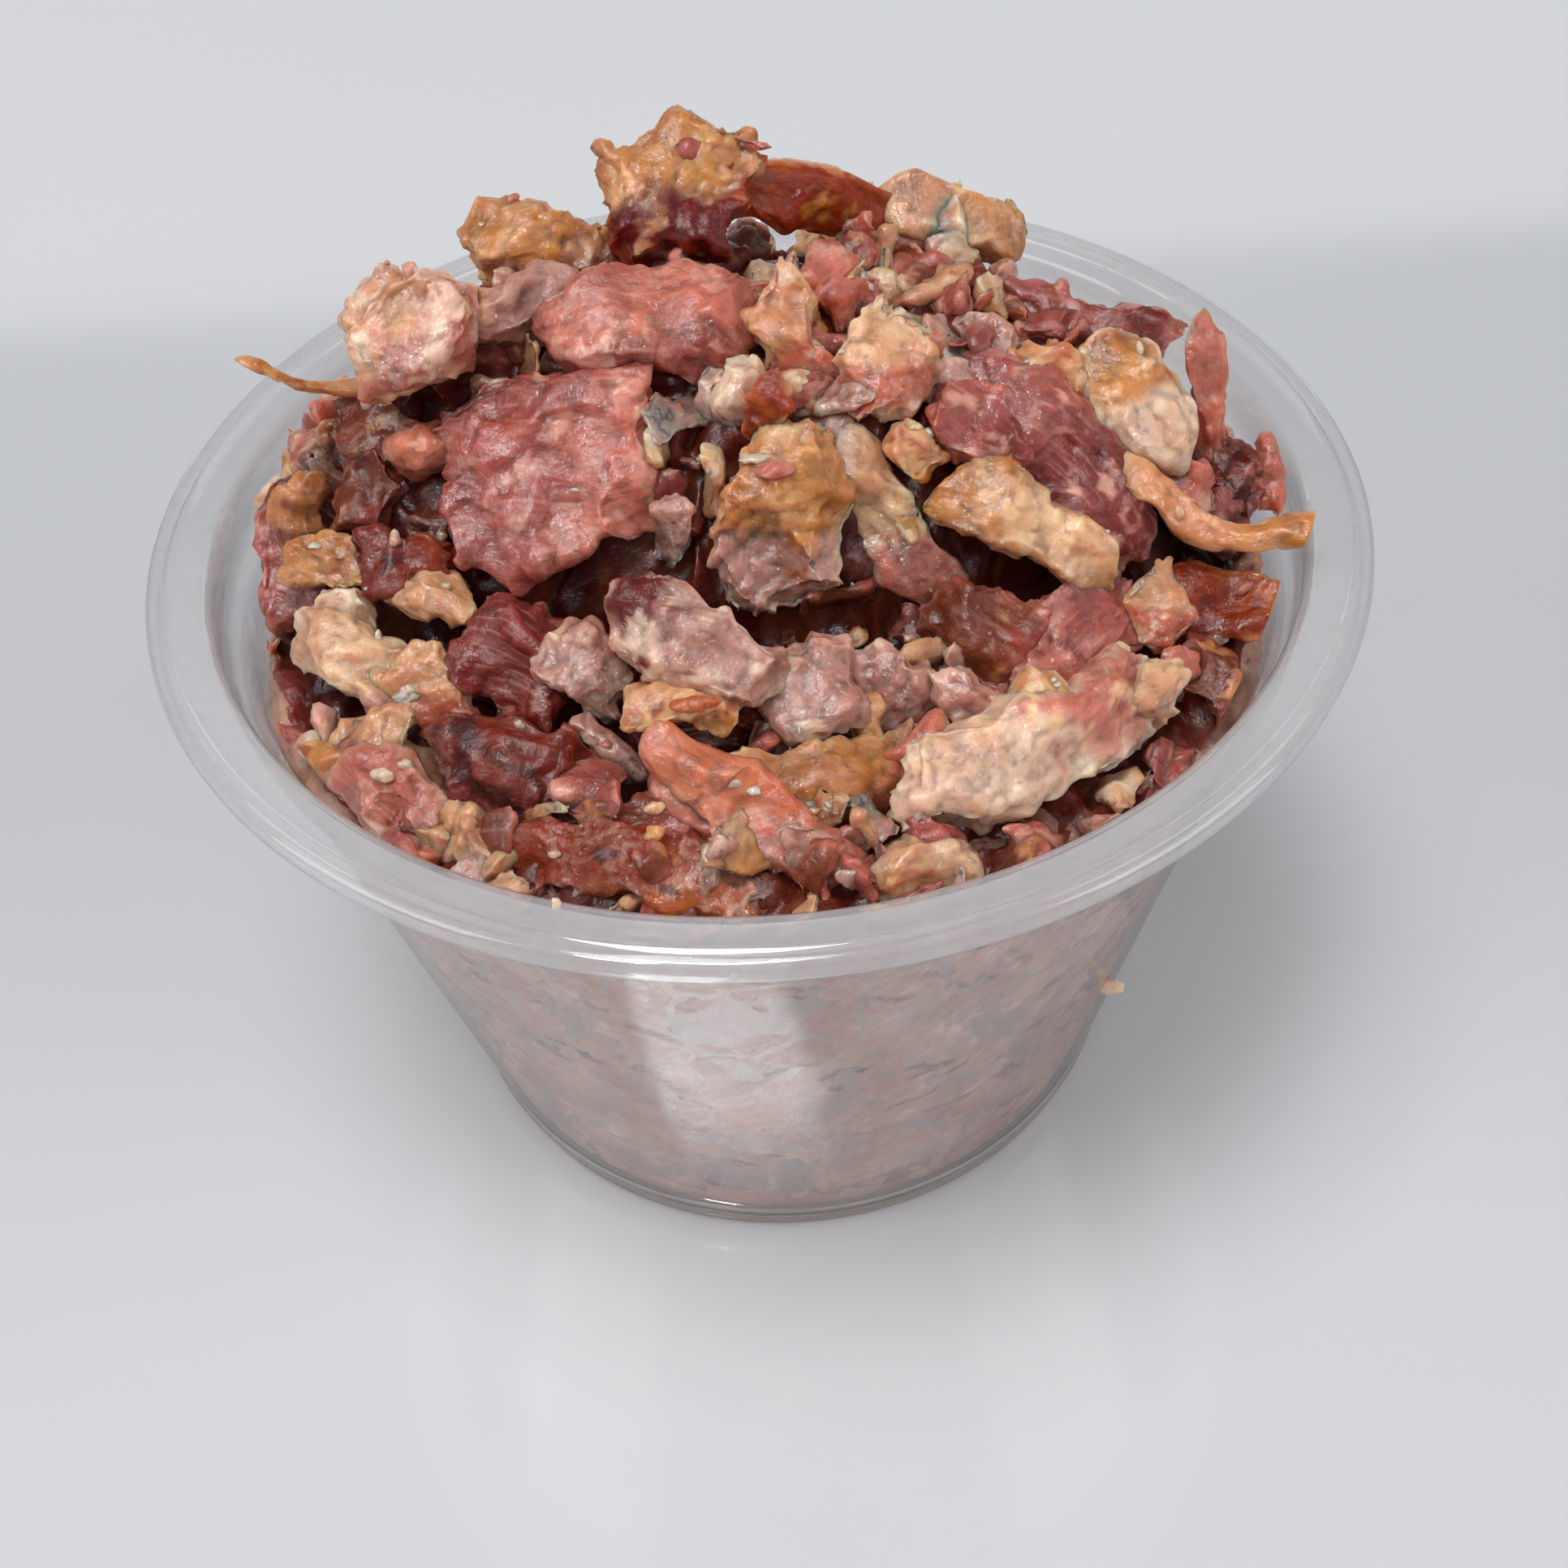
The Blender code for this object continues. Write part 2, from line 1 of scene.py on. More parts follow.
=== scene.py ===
"""The looks of a clear portion cup heaped with chopped fried bacon.

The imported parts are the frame, and the new pieces here stand where its solids stand. +Z is up,
and the origin is the centre of the cup's foot. Lengths are written in millimetres and turned
into metres as each mesh is made. Each piece of bacon is a slab of the same size, place and bow
as in the solids, cut finely and given its own ragged outline, lobes, fibres and colours.
"""

import math
from collections import namedtuple

import bpy
import numpy as np
from mathutils import Matrix, Vector
from mathutils.bvhtree import BVHTree


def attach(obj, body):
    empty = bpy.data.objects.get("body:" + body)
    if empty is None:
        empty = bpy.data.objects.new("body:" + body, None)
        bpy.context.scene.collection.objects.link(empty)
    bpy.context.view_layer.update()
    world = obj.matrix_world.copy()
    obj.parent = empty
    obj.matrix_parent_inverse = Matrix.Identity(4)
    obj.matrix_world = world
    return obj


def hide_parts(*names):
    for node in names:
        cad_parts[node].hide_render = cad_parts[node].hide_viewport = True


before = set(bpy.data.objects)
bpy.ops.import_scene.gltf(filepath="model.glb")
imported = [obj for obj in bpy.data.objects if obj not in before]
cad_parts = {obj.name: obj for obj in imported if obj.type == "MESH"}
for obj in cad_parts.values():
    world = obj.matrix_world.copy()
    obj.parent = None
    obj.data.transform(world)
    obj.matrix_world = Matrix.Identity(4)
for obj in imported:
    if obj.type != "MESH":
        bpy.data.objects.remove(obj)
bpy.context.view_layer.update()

MM = 0.001

# The cup: a thin tapered wall, a stacking step near the top, a flat lip and a raised floor
RIM_RADIUS = 37.0
CUP_HEIGHT = 44.4
WALL = 0.5
LIP_WIDTH = 3.6
SKIRT_DROP = 1.3
STEP_DROP = 4.0
STEP_WIDTH = 0.8
FOOT_RADIUS = 22.8
FOOT_HEIGHT = 1.2
CUP_SIDES = 224

# The heap's core: it follows the cup's wall, and rises to a dome that is steeper in front
GAP = 0.3
SHELF_HEIGHT = 42.5
SHELF_FALL = 3.5
DOME_HEIGHT = 14.0
DOME_CENTRE = (-1.0, 5.0)
DOME_SIDE = 30.0
DOME_FRONT = 15.5
DOME_BACK = 17.0
DOME_SKEW = 0.5
DOME_POWER = 0.6
CORE_INSET = 1.3

# How the pieces are shaped: how square a slab is, where flat cuts take off its corners, how far
# its outline and faces stray, and the length of the swells in each
SQUARENESS = 2.8
FACETS = 9
FACET_DEPTH = (0.78, 0.94)
RAGGED = {
    "lean": 0.12,
    "pink": 0.10,
    "fat": 0.11,
    "mixed": 0.13,
    "marbled": 0.12,
    "brown": 0.15,
    "crust": 0.16,
    "rind": 0.09,
    "char": 0.13,
    "grey": 0.15,
}
OUTLINE_SWELL = 9.0
UNEVEN = 0.2
FACE_SWELL = 7.0
BUMP = 0.35
BUMP_SWELL = 5.0

# The room each piece keeps from the wall, which differs so that no two of them share a face
SPARE = (0.1, 0.5)
SPREAD = 0.618

# Each piece draws its numbers from its own seed, moved on by these for its faces, bumps and cuts,
# and by a small number of its own for each finer noise
FACE_DRAW = 1000
BUMP_DRAW = 2000
FACET_DRAW = 3000

# How finely the placed pieces, the ones behind them and the small chunks are cut
FINE = 0.265
MEDIUM = 0.36
COARSE = 0.38

SEED = 7


def linear(red, green, blue):
    """A colour as the shaders want it, from the usual 0 to 255 of a display."""
    share = np.array((red, green, blue)) / 255
    return np.where(share > 0.04045, ((share + 0.055) / 1.055) ** 2.4, share / 12.92)


# The colours of the meat, its fat and its crust, and of the shade painted into its gaps and hollows
MAUVE = linear(168, 86, 78)
DEEP_MAUVE = linear(132, 54, 50)
WINE = linear(113, 36, 36)
ROSE = linear(202, 122, 107)
CORAL = linear(198, 108, 84)
SALMON = linear(215, 132, 100)
PALE_PINK = linear(227, 174, 158)
CREAM = linear(237, 198, 160)
PALE = linear(241, 214, 192)
BEIGE = linear(221, 170, 130)
PEACH = linear(227, 170, 129)
OCHRE = linear(206, 147, 90)
MUSTARD = linear(197, 137, 68)
AMBER = linear(174, 90, 38)
RUST = linear(147, 54, 22)
BROWN = linear(125, 62, 40)
RED_BROWN = linear(119, 38, 24)
CHAR = linear(53, 30, 28)
GREY_PINK = linear(197, 152, 140)
GREY = linear(173, 140, 130)
LAVENDER = linear(151, 120, 130)
# painted shade: the dark red of the gaps under and between the pieces
GAP_SHADE_RED = linear(89, 19, 8)
# painted shade: the darker colour that surfaces deep in the gaps are painted towards
GAP_SHADE_DARK = linear(66, 11, 5)
WALL_PALE = linear(206, 166, 146)
# painted shade: the colour of the recesses and hollows between the chunks behind the wall
HOLLOW_SHADE = linear(136, 92, 90)
THREAD = linear(84, 28, 26)

# A piece of bacon: what it is mostly made of, its length, width and thickness in millimetres,
# where its middle lies, the way it runs, the way its broad face looks, and how far its middle
# bows out of the straight line between its ends
Bit = namedtuple("Bit", "name kind size at way face bow", defaults=[(0, -1, 1), (0, 0, 0)])

HIGH = (0, -1, 1.6)
FRONT = (0, -1, 1)
LOW = (0, -1, 0.5)
LEFT = (-0.4, -1, 1)
RIGHT = (0.4, -1, 1)
UP = (0, 0, 1)

# The pieces that show in the photograph, from the top of the heap down to the front of the cup
PLACED = [
    Bit("crust_block", "crust", (9.6, 7, 4.6), (-3.4, 8, 61), (1, 0, 0)),
    Bit("rind_arch", "rind", (15, 4.2, 2), (5, 11, 58.5), (2, 1, -1.1), LOW, (0, 0, 0.5)),
    Bit("shaving", "lean", (7.5, 1.8, 1.1), (-1.5, 9, 63.6), (1, 0, 0), UP, (0, 0, 0.4)),
    Bit("back_chunk", "fat", (8.8, 4.2, 4), (13.5, 13, 55.5), (4, 0, -1), FRONT, (0, 0, 0.6)),
    Bit("back_tongue", "fat", (6.8, 3.4, 2.6), (13.6, 10.5, 54), (1, -1.2, -2.2)),
    Bit("back_lobe", "crust", (4, 2.8, 2), (16.8, 13.5, 53.8), (0.4, -0.3, -1)),
    Bit("back_crust", "crust", (8.6, 4.2, 3.6), (-11, 8.5, 58.3), (1, 0.1, -0.1)),
    Bit("marbled", "marbled", (8, 7.2, 6), (-18.5, 0, 58.3), (1, 0, 0)),
    Bit("marbled_tail", "brown", (6.8, 4.6, 4), (-12, 3.7, 57.2), (2, 1, -0.2)),
    Bit("curl_left", "rind", (9, 1.3, 1), (-25.4, 2.4, 53.3), (3, 0, -1), UP, (0, -0.5, -0.6)),
    Bit("brown_left", "brown", (5.6, 5, 3.4), (-22.2, 1.5, 51), (3, -2, -0.6)),
    Bit("lean_back", "lean", (11, 7, 3.4), (-5, 0.3, 57.5), (1, 0, -0.1), HIGH, (0, 0, 1.2)),
    Bit("lean_big", "lean", (14.4, 12.6, 4.4), (-11, -4.6, 52), (1, -0.1, 0), FRONT, (0, -0.5, 0.5)),
    Bit("salmon_left", "pink", (4.2, 3.4, 3), (-18.8, -1.5, 51.5), (1.7, 0.5, 1)),
    Bit("peach", "mixed", (8.2, 6.4, 3.6), (2.8, -0.7, 56), (0.4, -0.6, -1), FRONT, (0.4, -0.3, 0.3)),
    Bit("peach_crumb", "pink", (3.2, 2.8, 2.4), (5.6, 3.2, 56.8), (2.4, -1, -1)),
    Bit("two_tone", "mixed", (7.6, 5.6, 3.2), (7.8, -2.8, 55.7), (-0.4, -1, -1)),
    Bit("fat_knob", "fat", (4.4, 3.4, 3), (-0.6, -3.7, 54.5), (-0.2, -0.2, -1)),
    Bit("brown_tip", "crust", (4, 2.8, 2), (1.5, -5.6, 55.2), (0.35, 0.2, 1)),
    Bit("torn_sheet", "crust", (11.4, 8.2, 2.6), (1, -8.8, 49.5), (-0.2, -0.5, -1), LOW, (0, -0.3, 0.2)),
    Bit("beige_tongue", "fat", (11.8, 5.6, 2.2), (7.8, -7.6, 48), (0.45, -0.4, -1), LOW, (0.4, -0.6, 0.4)),
    Bit("ochre_knot", "crust", (4, 3, 2.6), (9.4, -6, 51.4), (1.4, -1, -1)),
    Bit("fat_strip", "fat", (13.2, 4.6, 3), (15.4, -8.6, 48.6), (1.8, -0.5, -1), FRONT, (0.5, -0.2, 1.2)),
    Bit("lean_bend", "lean", (17, 6.6, 3), (17.5, -3.8, 49.5), (1.7, -1, -1.2), RIGHT, (1.2, 0.5, 2.4)),
    Bit("lean_corner", "lean", (6.8, 5.4, 2.8), (12.6, -4.4, 52.2), (1, -0.3, -0.5), RIGHT),
    Bit("lean_end", "lean", (11.5, 5.4, 2.8), (18, -12.5, 42.2), (-1.5, -1, -0.5), RIGHT),
    Bit("grey_crumb", "grey", (4.4, 3.8, 3), (14.2, 2, 52.6), (1.2, -0.8, -1)),
    Bit("orange_block", "mixed", (6.2, 5.2, 4), (18.4, 0.5, 51.3), (1, -0.8, -0.9)),
    Bit("fat_sparkle", "fat", (8.4, 6, 3.6), (23, -1, 51), (0.7, -0.9, -1), FRONT, (0.3, -0.2, 0.3)),
    Bit("spike_right", "pink", (9.4, 2.2, 1.8), (27.4, 1.2, 49.4), (0, -0.4, -1)),
    Bit("lean_far", "lean", (11.8, 4.4, 3.2), (20.6, 6.6, 51.2), (4, -1, -0.6)),
    Bit("curl_right", "rind", (13.5, 2.6, 1.5), (26, -8.2, 46.5), (5, -2.8, -1), RIGHT, (-1, -2, -2.6)),
    Bit("pink_bed", "pink", (5, 4.6, 3), (25, -3.5, 46.3), (1.5, -0.4, -1)),
    Bit("char_nub", "char", (4.4, 3.4, 2.8), (29.1, -2, 44.9), (0.5, -0.6, -1)),
    Bit("pink_edge", "pink", (4.8, 2, 1.6), (31, -1.5, 44.6), (0, -0.9, -1)),
    Bit("rind_right", "rind", (7, 4.8, 3), (27.2, -9.5, 41.8), (2.7, -1, 0.5), RIGHT),
    Bit("beige_flake", "mixed", (5.6, 3.8, 2.4), (22.8, -10.5, 43.2), (0.8, -0.9, -1), RIGHT),
    Bit("brown_low_right", "brown", (4.6, 4.4, 3.4), (25.4, -14.5, 40), (0.9, -1.2, -1), RIGHT),
    Bit("front_right", "mixed", (16.6, 6.4, 4.6), (13.4, -22, 42.2), (2.3, 1, 0), FRONT, (0, -0.5, 0.3)),
    Bit("front_right_knob", "fat", (4.6, 4.4, 4.2), (21.3, -17.3, 42.6), (3, -1, -0.6)),
    Bit("front_right_cap", "fat", (4.2, 3.6, 3.2), (15, -20, 44), (1, 1, 0.35), LEFT),
    Bit("front_hollow", "mixed", (15, 5.4, 2.2), (4, -21.8, 41.4), (4.5, 1, -0.9), FRONT, (-0.6, -2.4, -1)),
    Bit("pink_strip", "pink", (13.4, 4.2, 2.8), (-0.9, -24.9, 42.2), (1.6, -0.8, -1), RIGHT),
    Bit("pink_split", "pink", (5.2, 1.8, 1.6), (-4.4, -23.8, 42.1), (1.8, -1.1, -1), RIGHT),
    Bit("dark_slab", "char", (9.6, 7, 4), (-13.5, -19.8, 42), (3, -1, -0.2), LEFT, (0, 0.5, 0.6)),
    Bit("dark_slab_front", "char", (15.2, 4.8, 4), (-7, -26, 40.3), (3.2, -1, -0.35), FRONT, (0, -0.2, 0.7)),
    Bit("dark_ridge", "brown", (7.2, 3, 2.4), (-7.4, -24, 41.9), (3.4, -1, -0.3)),
    Bit("dark_crust", "crust", (5.6, 3.6, 2.8), (-16.5, -22.6, 39.9), (0.8, -1, -0.5), LEFT),
    Bit("crust_left", "crust", (12.6, 3.4, 3), (-22.6, -7, 46.9), (1.8, -1, 0.1), LEFT, (0, 0, 1.2)),
    Bit("fat_lump", "fat", (3.6, 3.2, 2.8), (-24.3, -8.7, 45.6), (1, -0.2, 0.1), LEFT),
    Bit("beige_left", "mixed", (10, 5.2, 3.8), (-23.2, -11.5, 43.3), (1.7, -1, -0.3), LEFT),
    Bit("beige_left_low", "mixed", (6, 4.4, 3.2), (-19.9, -13.2, 43.2), (1.3, -1.2, -1), LEFT),
    Bit("spike_left", "brown", (7.4, 2.4, 1.8), (-27.3, -2, 46.8), (-0.2, -0.3, -1)),
    Bit("red_left", "brown", (6.2, 4.6, 3.4), (-23.2, -1.8, 48.1), (1.5, 0, 1)),
    Bit("dark_left", "char", (6, 4.4, 3), (-20, -7.5, 47.5), (1, -0.2, 0), LEFT),
    Bit("crust_low_left", "crust", (8.3, 3.2, 2.2), (-23.5, -17, 41.8), (2.3, 0, 1), LEFT, (0, -1, 0)),
    Bit("pink_low_left", "pink", (6.2, 5.4, 3.8), (-21.8, -19.9, 40.8), (0.7, -1, -0.5), LEFT),
    Bit("lean_dark", "lean", (7.6, 7.6, 4), (-14.3, -13, 44.3), (2, -1, -0.4)),
    Bit("grey_fat", "grey", (6, 4.6, 3.4), (-10, -15.3, 45.1), (1.2, -1, -0.9)),
    Bit("middle_chunk", "marbled", (9.4, 6, 4.6), (-3.8, -16.5, 47.7), (2.5, -1, -0.8), FRONT, (0, 0, 0.4)),
    Bit("middle_crust", "crust", (5.6, 3, 2.8), (-4.3, -19.5, 45.7), (1, -0.2, 0)),
    Bit("grey_knob", "grey", (6, 4.8, 4), (2.8, -16.9, 44.3), (1.3, -0.8, -1)),
    Bit("grey_slab", "grey", (6.8, 6.4, 3.4), (7.1, -15.8, 42.3), (2.2, -1, -1), LOW),
    Bit("flakes", "grey", (5.2, 3.4, 2.4), (11.5, -17.8, 42.7), (1.5, -1, -1), LOW),
    Bit("crystals", "fat", (6.4, 3.8, 3), (7.7, -27.2, 40.7), (1, 0.1, 0)),
    Bit("ragged_mid", "brown", (8.2, 6.4, 3.2), (13, -12.5, 42.7), (2, -0.9, -1), LOW),
]

# Pieces that lie under the ones above, in the gaps between them and the core
BEDS = [
    Bit("top_bed", "brown", (8, 5.4, 4.4), (-3.5, 7.8, 56.4), (1, 0, 0)),
    Bit("arch_bed", "brown", (6.4, 4, 3.6), (11.5, 12, 53), (1, 0.2, -0.4)),
    Bit("marbled_bed", "brown", (6.4, 5, 5), (-17, 2.2, 54.2), (1, 0.2, 0)),
    Bit("middle_bed", "lean", (7.6, 6.5, 6), (-4.5, -15.8, 42.2), (3, -1, 0)),
    Bit("right_bed", "lean", (9.6, 6, 5), (27.5, 0, 44.5), (0.25, -1, -0.6)),
    Bit("left_bed", "lean", (8.8, 6, 5), (-27, -1.5, 44), (-0.15, -1, -0.7)),
]

# Pieces that no one placed: how many lie in each row against the wall, and in each arc over
# the back of the heap, with the row's height or the arc's radius
WALL_ROWS = [(7.0, 5), (15.0, 6), (23.0, 7), (31.5, 8)]
BACK_ARCS = [(28.0, 11), (21.5, 8), (14.5, 4)]
ARC_START = 6.0
ARC_SPAN = 168.0
ARC_SINK = 0.2
LOOSE_LENGTH = (5.5, 9.5)
LOOSE_WIDTH = (4.6, 7.0)
LOOSE_THICKNESS = (2.6, 4.0)
LOOSE_BOW = (-0.8, 1.2)
LOOSE_KINDS = ["lean", "lean", "pink", "fat", "mixed", "mixed", "marbled", "brown", "crust"]

# How much richer the colours are than the palette's own
RICHNESS = 1.1

# A piece's colours: the main one, another that takes over towards one side from a share of the
# way (-1 to 1), a paler one painted along its thin edges as light glowing through them, and the one of its
# blotches with how much there is
Look = namedtuple("Look", "main other towards share edge blotch amount")

KIND_LOOKS = {
    "lean": Look(MAUVE, DEEP_MAUVE, (1, 0, -1), 0.2, ROSE, PALE_PINK, 0.2),
    "pink": Look(CORAL, ROSE, (0, 0, 1), 0.1, SALMON, PALE_PINK, 0.3),
    "fat": Look(CREAM, BEIGE, (0, -1, -1), 0.1, PALE, OCHRE, 0.25),
    "mixed": Look(BEIGE, CORAL, (0, -0.4, -1), 0.1, CREAM, PALE, 0.3),
    "marbled": Look(ROSE, PALE_PINK, (1, 0, -1), 0.1, CREAM, PALE, 0.45),
    "brown": Look(BROWN, MAUVE, (1, 0, -1), 0.1, ROSE, OCHRE, 0.25),
    "crust": Look(OCHRE, BEIGE, (0, 0, 1), 0.2, CREAM, RUST, 0.3),
    "rind": Look(AMBER, RUST, (0, -1, -1), 0.3, OCHRE, MUSTARD, 0.3),
    "char": Look(RED_BROWN, RUST, (1, -0.5, 0), 0.2, BROWN, CHAR, 0.35),
    "grey": Look(GREY_PINK, GREY, (0, 0, -1), 0.0, PALE_PINK, PALE, 0.3),
}

LOOKS = {
    "crust_block": Look(OCHRE, WINE, (0.1, -1, -0.8), 0.1, RUST, BEIGE, 0.35),
    "rind_arch": Look(AMBER, RUST, (0.2, -1, -0.6), -0.2, PEACH, MUSTARD, 0.15),
    "back_chunk": Look(BEIGE, OCHRE, (1, 0, 0.3), 0.3, MUSTARD, CREAM, 0.4),
    "back_tongue": Look(PALE, PALE_PINK, (-1, 0, 0), 0.1, PALE, CREAM, 0.3),
    "back_lobe": Look(MUSTARD, BEIGE, (-1, 0, 0), 0.3, OCHRE, BROWN, 0.2),
    "back_crust": Look(OCHRE, BROWN, (0.3, -0.3, -1), 0.2, BEIGE, BEIGE, 0.3),
    "marbled": Look(ROSE, BEIGE, (-1, 0, 1.2), 0.35, PEACH, PALE, 0.5),
    "marbled_tail": Look(GREY_PINK, BROWN, (0.4, 0, -1), 0.0, BEIGE, LAVENDER, 0.35),
    "curl_left": Look(OCHRE, BEIGE, (1, 0, 0), 0.3, PEACH, MUSTARD, 0.3),
    "lean_back": Look(MAUVE, ROSE, (0, 0, 1), 0.2, ROSE, PALE_PINK, 0.25),
    "lean_big": Look(MAUVE, ROSE, (1, 0, -0.5), 0.1, ROSE, PALE_PINK, 0.22),
    "salmon_left": Look(SALMON, CORAL, (0, 0, -1), 0.0, SALMON, PALE_PINK, 0.2),
    "peach": Look(PEACH, CORAL, (0.2, -0.6, -1), 0.1, CREAM, PALE, 0.25),
    "two_tone": Look(CREAM, CORAL, (0, -0.5, -1), -0.1, PALE, PEACH, 0.2),
    "fat_knob": Look(PALE, GREY_PINK, (0, 0, -1), 0.1, PALE, PALE_PINK, 0.3),
    "brown_tip": Look(AMBER, RUST, (0.3, 0, 0.6), 0.2, PEACH, RUST, 0.4),
    "torn_sheet": Look(OCHRE, GREY_PINK, (-0.2, -0.3, -1), 0.2, CREAM, AMBER, 0.3),
    "beige_tongue": Look(CREAM, ROSE, (0.2, -0.4, -1), 0.3, PALE, BEIGE, 0.35),
    "fat_strip": Look(CREAM, MUSTARD, (-1, 0.2, 0.3), 0.3, OCHRE, PEACH, 0.25),
    "lean_bend": Look(MAUVE, DEEP_MAUVE, (1, -0.4, -0.6), 0.0, ROSE, PALE_PINK, 0.15),
    "lean_end": Look(MAUVE, ROSE, (-1, -0.6, -0.4), 0.2, ROSE, WINE, 0.2),
    "orange_block": Look(PEACH, BROWN, (0, -0.6, -1), 0.1, OCHRE, AMBER, 0.3),
    "fat_sparkle": Look(PALE, OCHRE, (0, 0, 1), 0.55, PALE, CREAM, 0.4),
    "curl_right": Look(PEACH, MUSTARD, (1, 0, -0.4), 0.3, CREAM, OCHRE, 0.35),
    "rind_right": Look(RUST, AMBER, (1, 0, 0.6), 0.3, OCHRE, RED_BROWN, 0.35),
    "front_right": Look(PALE, ROSE, (0.6, 0.4, 0.6), 0.4, PALE, CREAM, 0.4),
    "front_hollow": Look(OCHRE, BROWN, (0.5, -0.4, -1), 0.1, CREAM, ROSE, 0.2),
    "pink_strip": Look(CORAL, SALMON, (0, 0, 1), 0.2, ROSE, PALE_PINK, 0.2),
    "dark_slab": Look(RED_BROWN, WINE, (0, -0.5, -1), 0.0, BROWN, CHAR, 0.5),
    "dark_slab_front": Look(RUST, AMBER, (0.2, -0.6, -1), 0.0, BROWN, CHAR, 0.2),
    "dark_crust": Look(BEIGE, GREY_PINK, (0, 0, -1), 0.0, CREAM, BROWN, 0.35),
    "crust_left": Look(OCHRE, BEIGE, (1, 0, -0.5), 0.0, CREAM, MUSTARD, 0.4),
    "fat_lump": Look(PALE, CREAM, (0, 0, -1), 0.0, PALE, PALE, 0.3),
    "beige_left": Look(CREAM, GREY_PINK, (0, -0.5, -1), 0.2, PALE, ROSE, 0.3),
    "pink_low_left": Look(ROSE, CORAL, (0, -0.5, -1), 0.1, PALE_PINK, PALE, 0.3),
    "lean_dark": Look(DEEP_MAUVE, RED_BROWN, (1, -0.5, -1), 0.0, MAUVE, RED_BROWN, 0.35),
    "middle_chunk": Look(GREY_PINK, WINE, (-1, 0, 0.6), 0.35, PALE_PINK, PALE, 0.45),
    "grey_slab": Look(GREY_PINK, MAUVE, (0, 0, -1), 0.0, PALE_PINK, PALE, 0.35),
    "spike_left": Look(BROWN, OCHRE, (0, 0, 1), 0.1, OCHRE, RUST, 0.3),
    # painted shade: blotches of the gap's dark red on this bed that lies under the pieces
    "middle_bed": Look(DEEP_MAUVE, RED_BROWN, (0, 0, -1), 0.0, MAUVE, GAP_SHADE_RED, 0.4),
}

# How each kind is worked, in millimetres: the height of its soft lumps, of its puffy lobes, of
# its sharp crests, of the clumps it is made of, of its torn layers and of the fibres along it,
# then how far its outline is scalloped, and how far its torn ends stray
Work = namedtuple("Work", "lumps lobes crests clumps layers fibres scallops frays")

WORKS = {
    "lean": Work(0.24, 0.10, 0.03, 0.03, 0.34, 0.05, 0.9, 0.4),
    "pink": Work(0.20, 0.08, 0.03, 0.04, 0.26, 0.05, 0.6, 0.4),
    "fat": Work(0.20, 0.14, 0.03, 0.04, 0.15, 0.02, 0.6, 0.3),
    "mixed": Work(0.26, 0.20, 0.08, 0.10, 0.28, 0.03, 0.9, 0.4),
    "marbled": Work(0.28, 0.18, 0.05, 0.08, 0.26, 0.03, 0.7, 0.3),
    "brown": Work(0.26, 0.16, 0.12, 0.12, 0.32, 0.06, 0.9, 0.5),
    "crust": Work(0.26, 0.32, 0.16, 0.14, 0.26, 0.03, 1.0, 0.4),
    "rind": Work(0.22, 0.05, 0.05, 0.05, 0.16, 0.04, 0.4, 0.3),
    "char": Work(0.34, 0.14, 0.18, 0.14, 0.30, 0.05, 0.8, 0.5),
    "grey": Work(0.26, 0.32, 0.05, 0.14, 0.20, 0.02, 0.8, 0.3),
}

# A fine surface: its points and quads, then for each point its colour, its place in the piece's
# own directions, and how deep in a crease it lies
Surface = namedtuple("Surface", "points quads tint flat crease")

# The contents behind the wall: how finely they are cut around and up, how far they reach into
# the wall, the size of their chunks and of the crumbs in these, and the colours of both
SIDE_SEGMENTS = 560
SIDE_RINGS = 118
PRESSED = 0.12
WALL_CHUNK = 5.2
WALL_CRUMB = 2.3
WALL_COLOURS = [GREY_PINK, ROSE, PALE_PINK, BEIGE, GREY_PINK, MAUVE, PALE_PINK, GREY]

# How deep a hollow behind the wall goes at most, and how much the contents' top sinks at the back
HOLLOW_DEPTH = 3.0
TOP_SINK = 2.0

# The dark threads pressed to the wall: how many groups, how far a group spreads around (in
# radians) and up, half of a thread's length, and where it starts and ends to fade sideways
THREAD_GROUPS = 110
THREAD_SPREAD = (0.07, 1.4)
THREAD_HALF = (0.5, 1.6)
THREAD_FADE = (0.14, 0.32)

# The core: how finely it is cut around and inwards, the size of its lumps, and their colours
TOP_SEGMENTS = 320
TOP_RINGS = 90
CORE_LUMP = 3.0
CORE_COLOURS = [DEEP_MAUVE, RED_BROWN, BROWN, MAUVE, GREY_PINK, RED_BROWN]

# Small chunks in the gaps over the core: how many, how many draws there are for each, how far
# from the middle they lie, and their kinds and sizes
CHUNKS = 360
CHUNK_TRIES = 12
CHUNK_DRAW = 5000
CHUNK_FIELD = 30.8
CHUNK_KINDS = ["grey", "mixed", "brown", "lean", "grey", "pink", "lean", "crust", "fat"]
CHUNK_LENGTH = (2.0, 5.2)
CHUNK_WIDTH = (1.5, 3.4)
CHUNK_THICKNESS = (0.8, 1.8)

# How far a chunk's middle may sink into the core and rise over it, how far it stays under the
# tops around it, how far a piece may reach over it, how high it may lie on the core alone, and
# how near a piece has to be to hold it higher up
CHUNK_SINK = 0.4
CHUNK_RISE = 2.4
CHUNK_COVER = 1.6
CHUNK_SHOW = 0.5
CHUNK_LIFT = 1.4
CHUNK_HOLD = 1.3

# Crumbs that lie on what is under them: how many, how far from the middle, and their colours
CRUMBS = 80
CRUMB_FIELD = 29.0
CRUMB_COLOURS = [CREAM, PALE, ROSE, PALE_PINK, PALE]

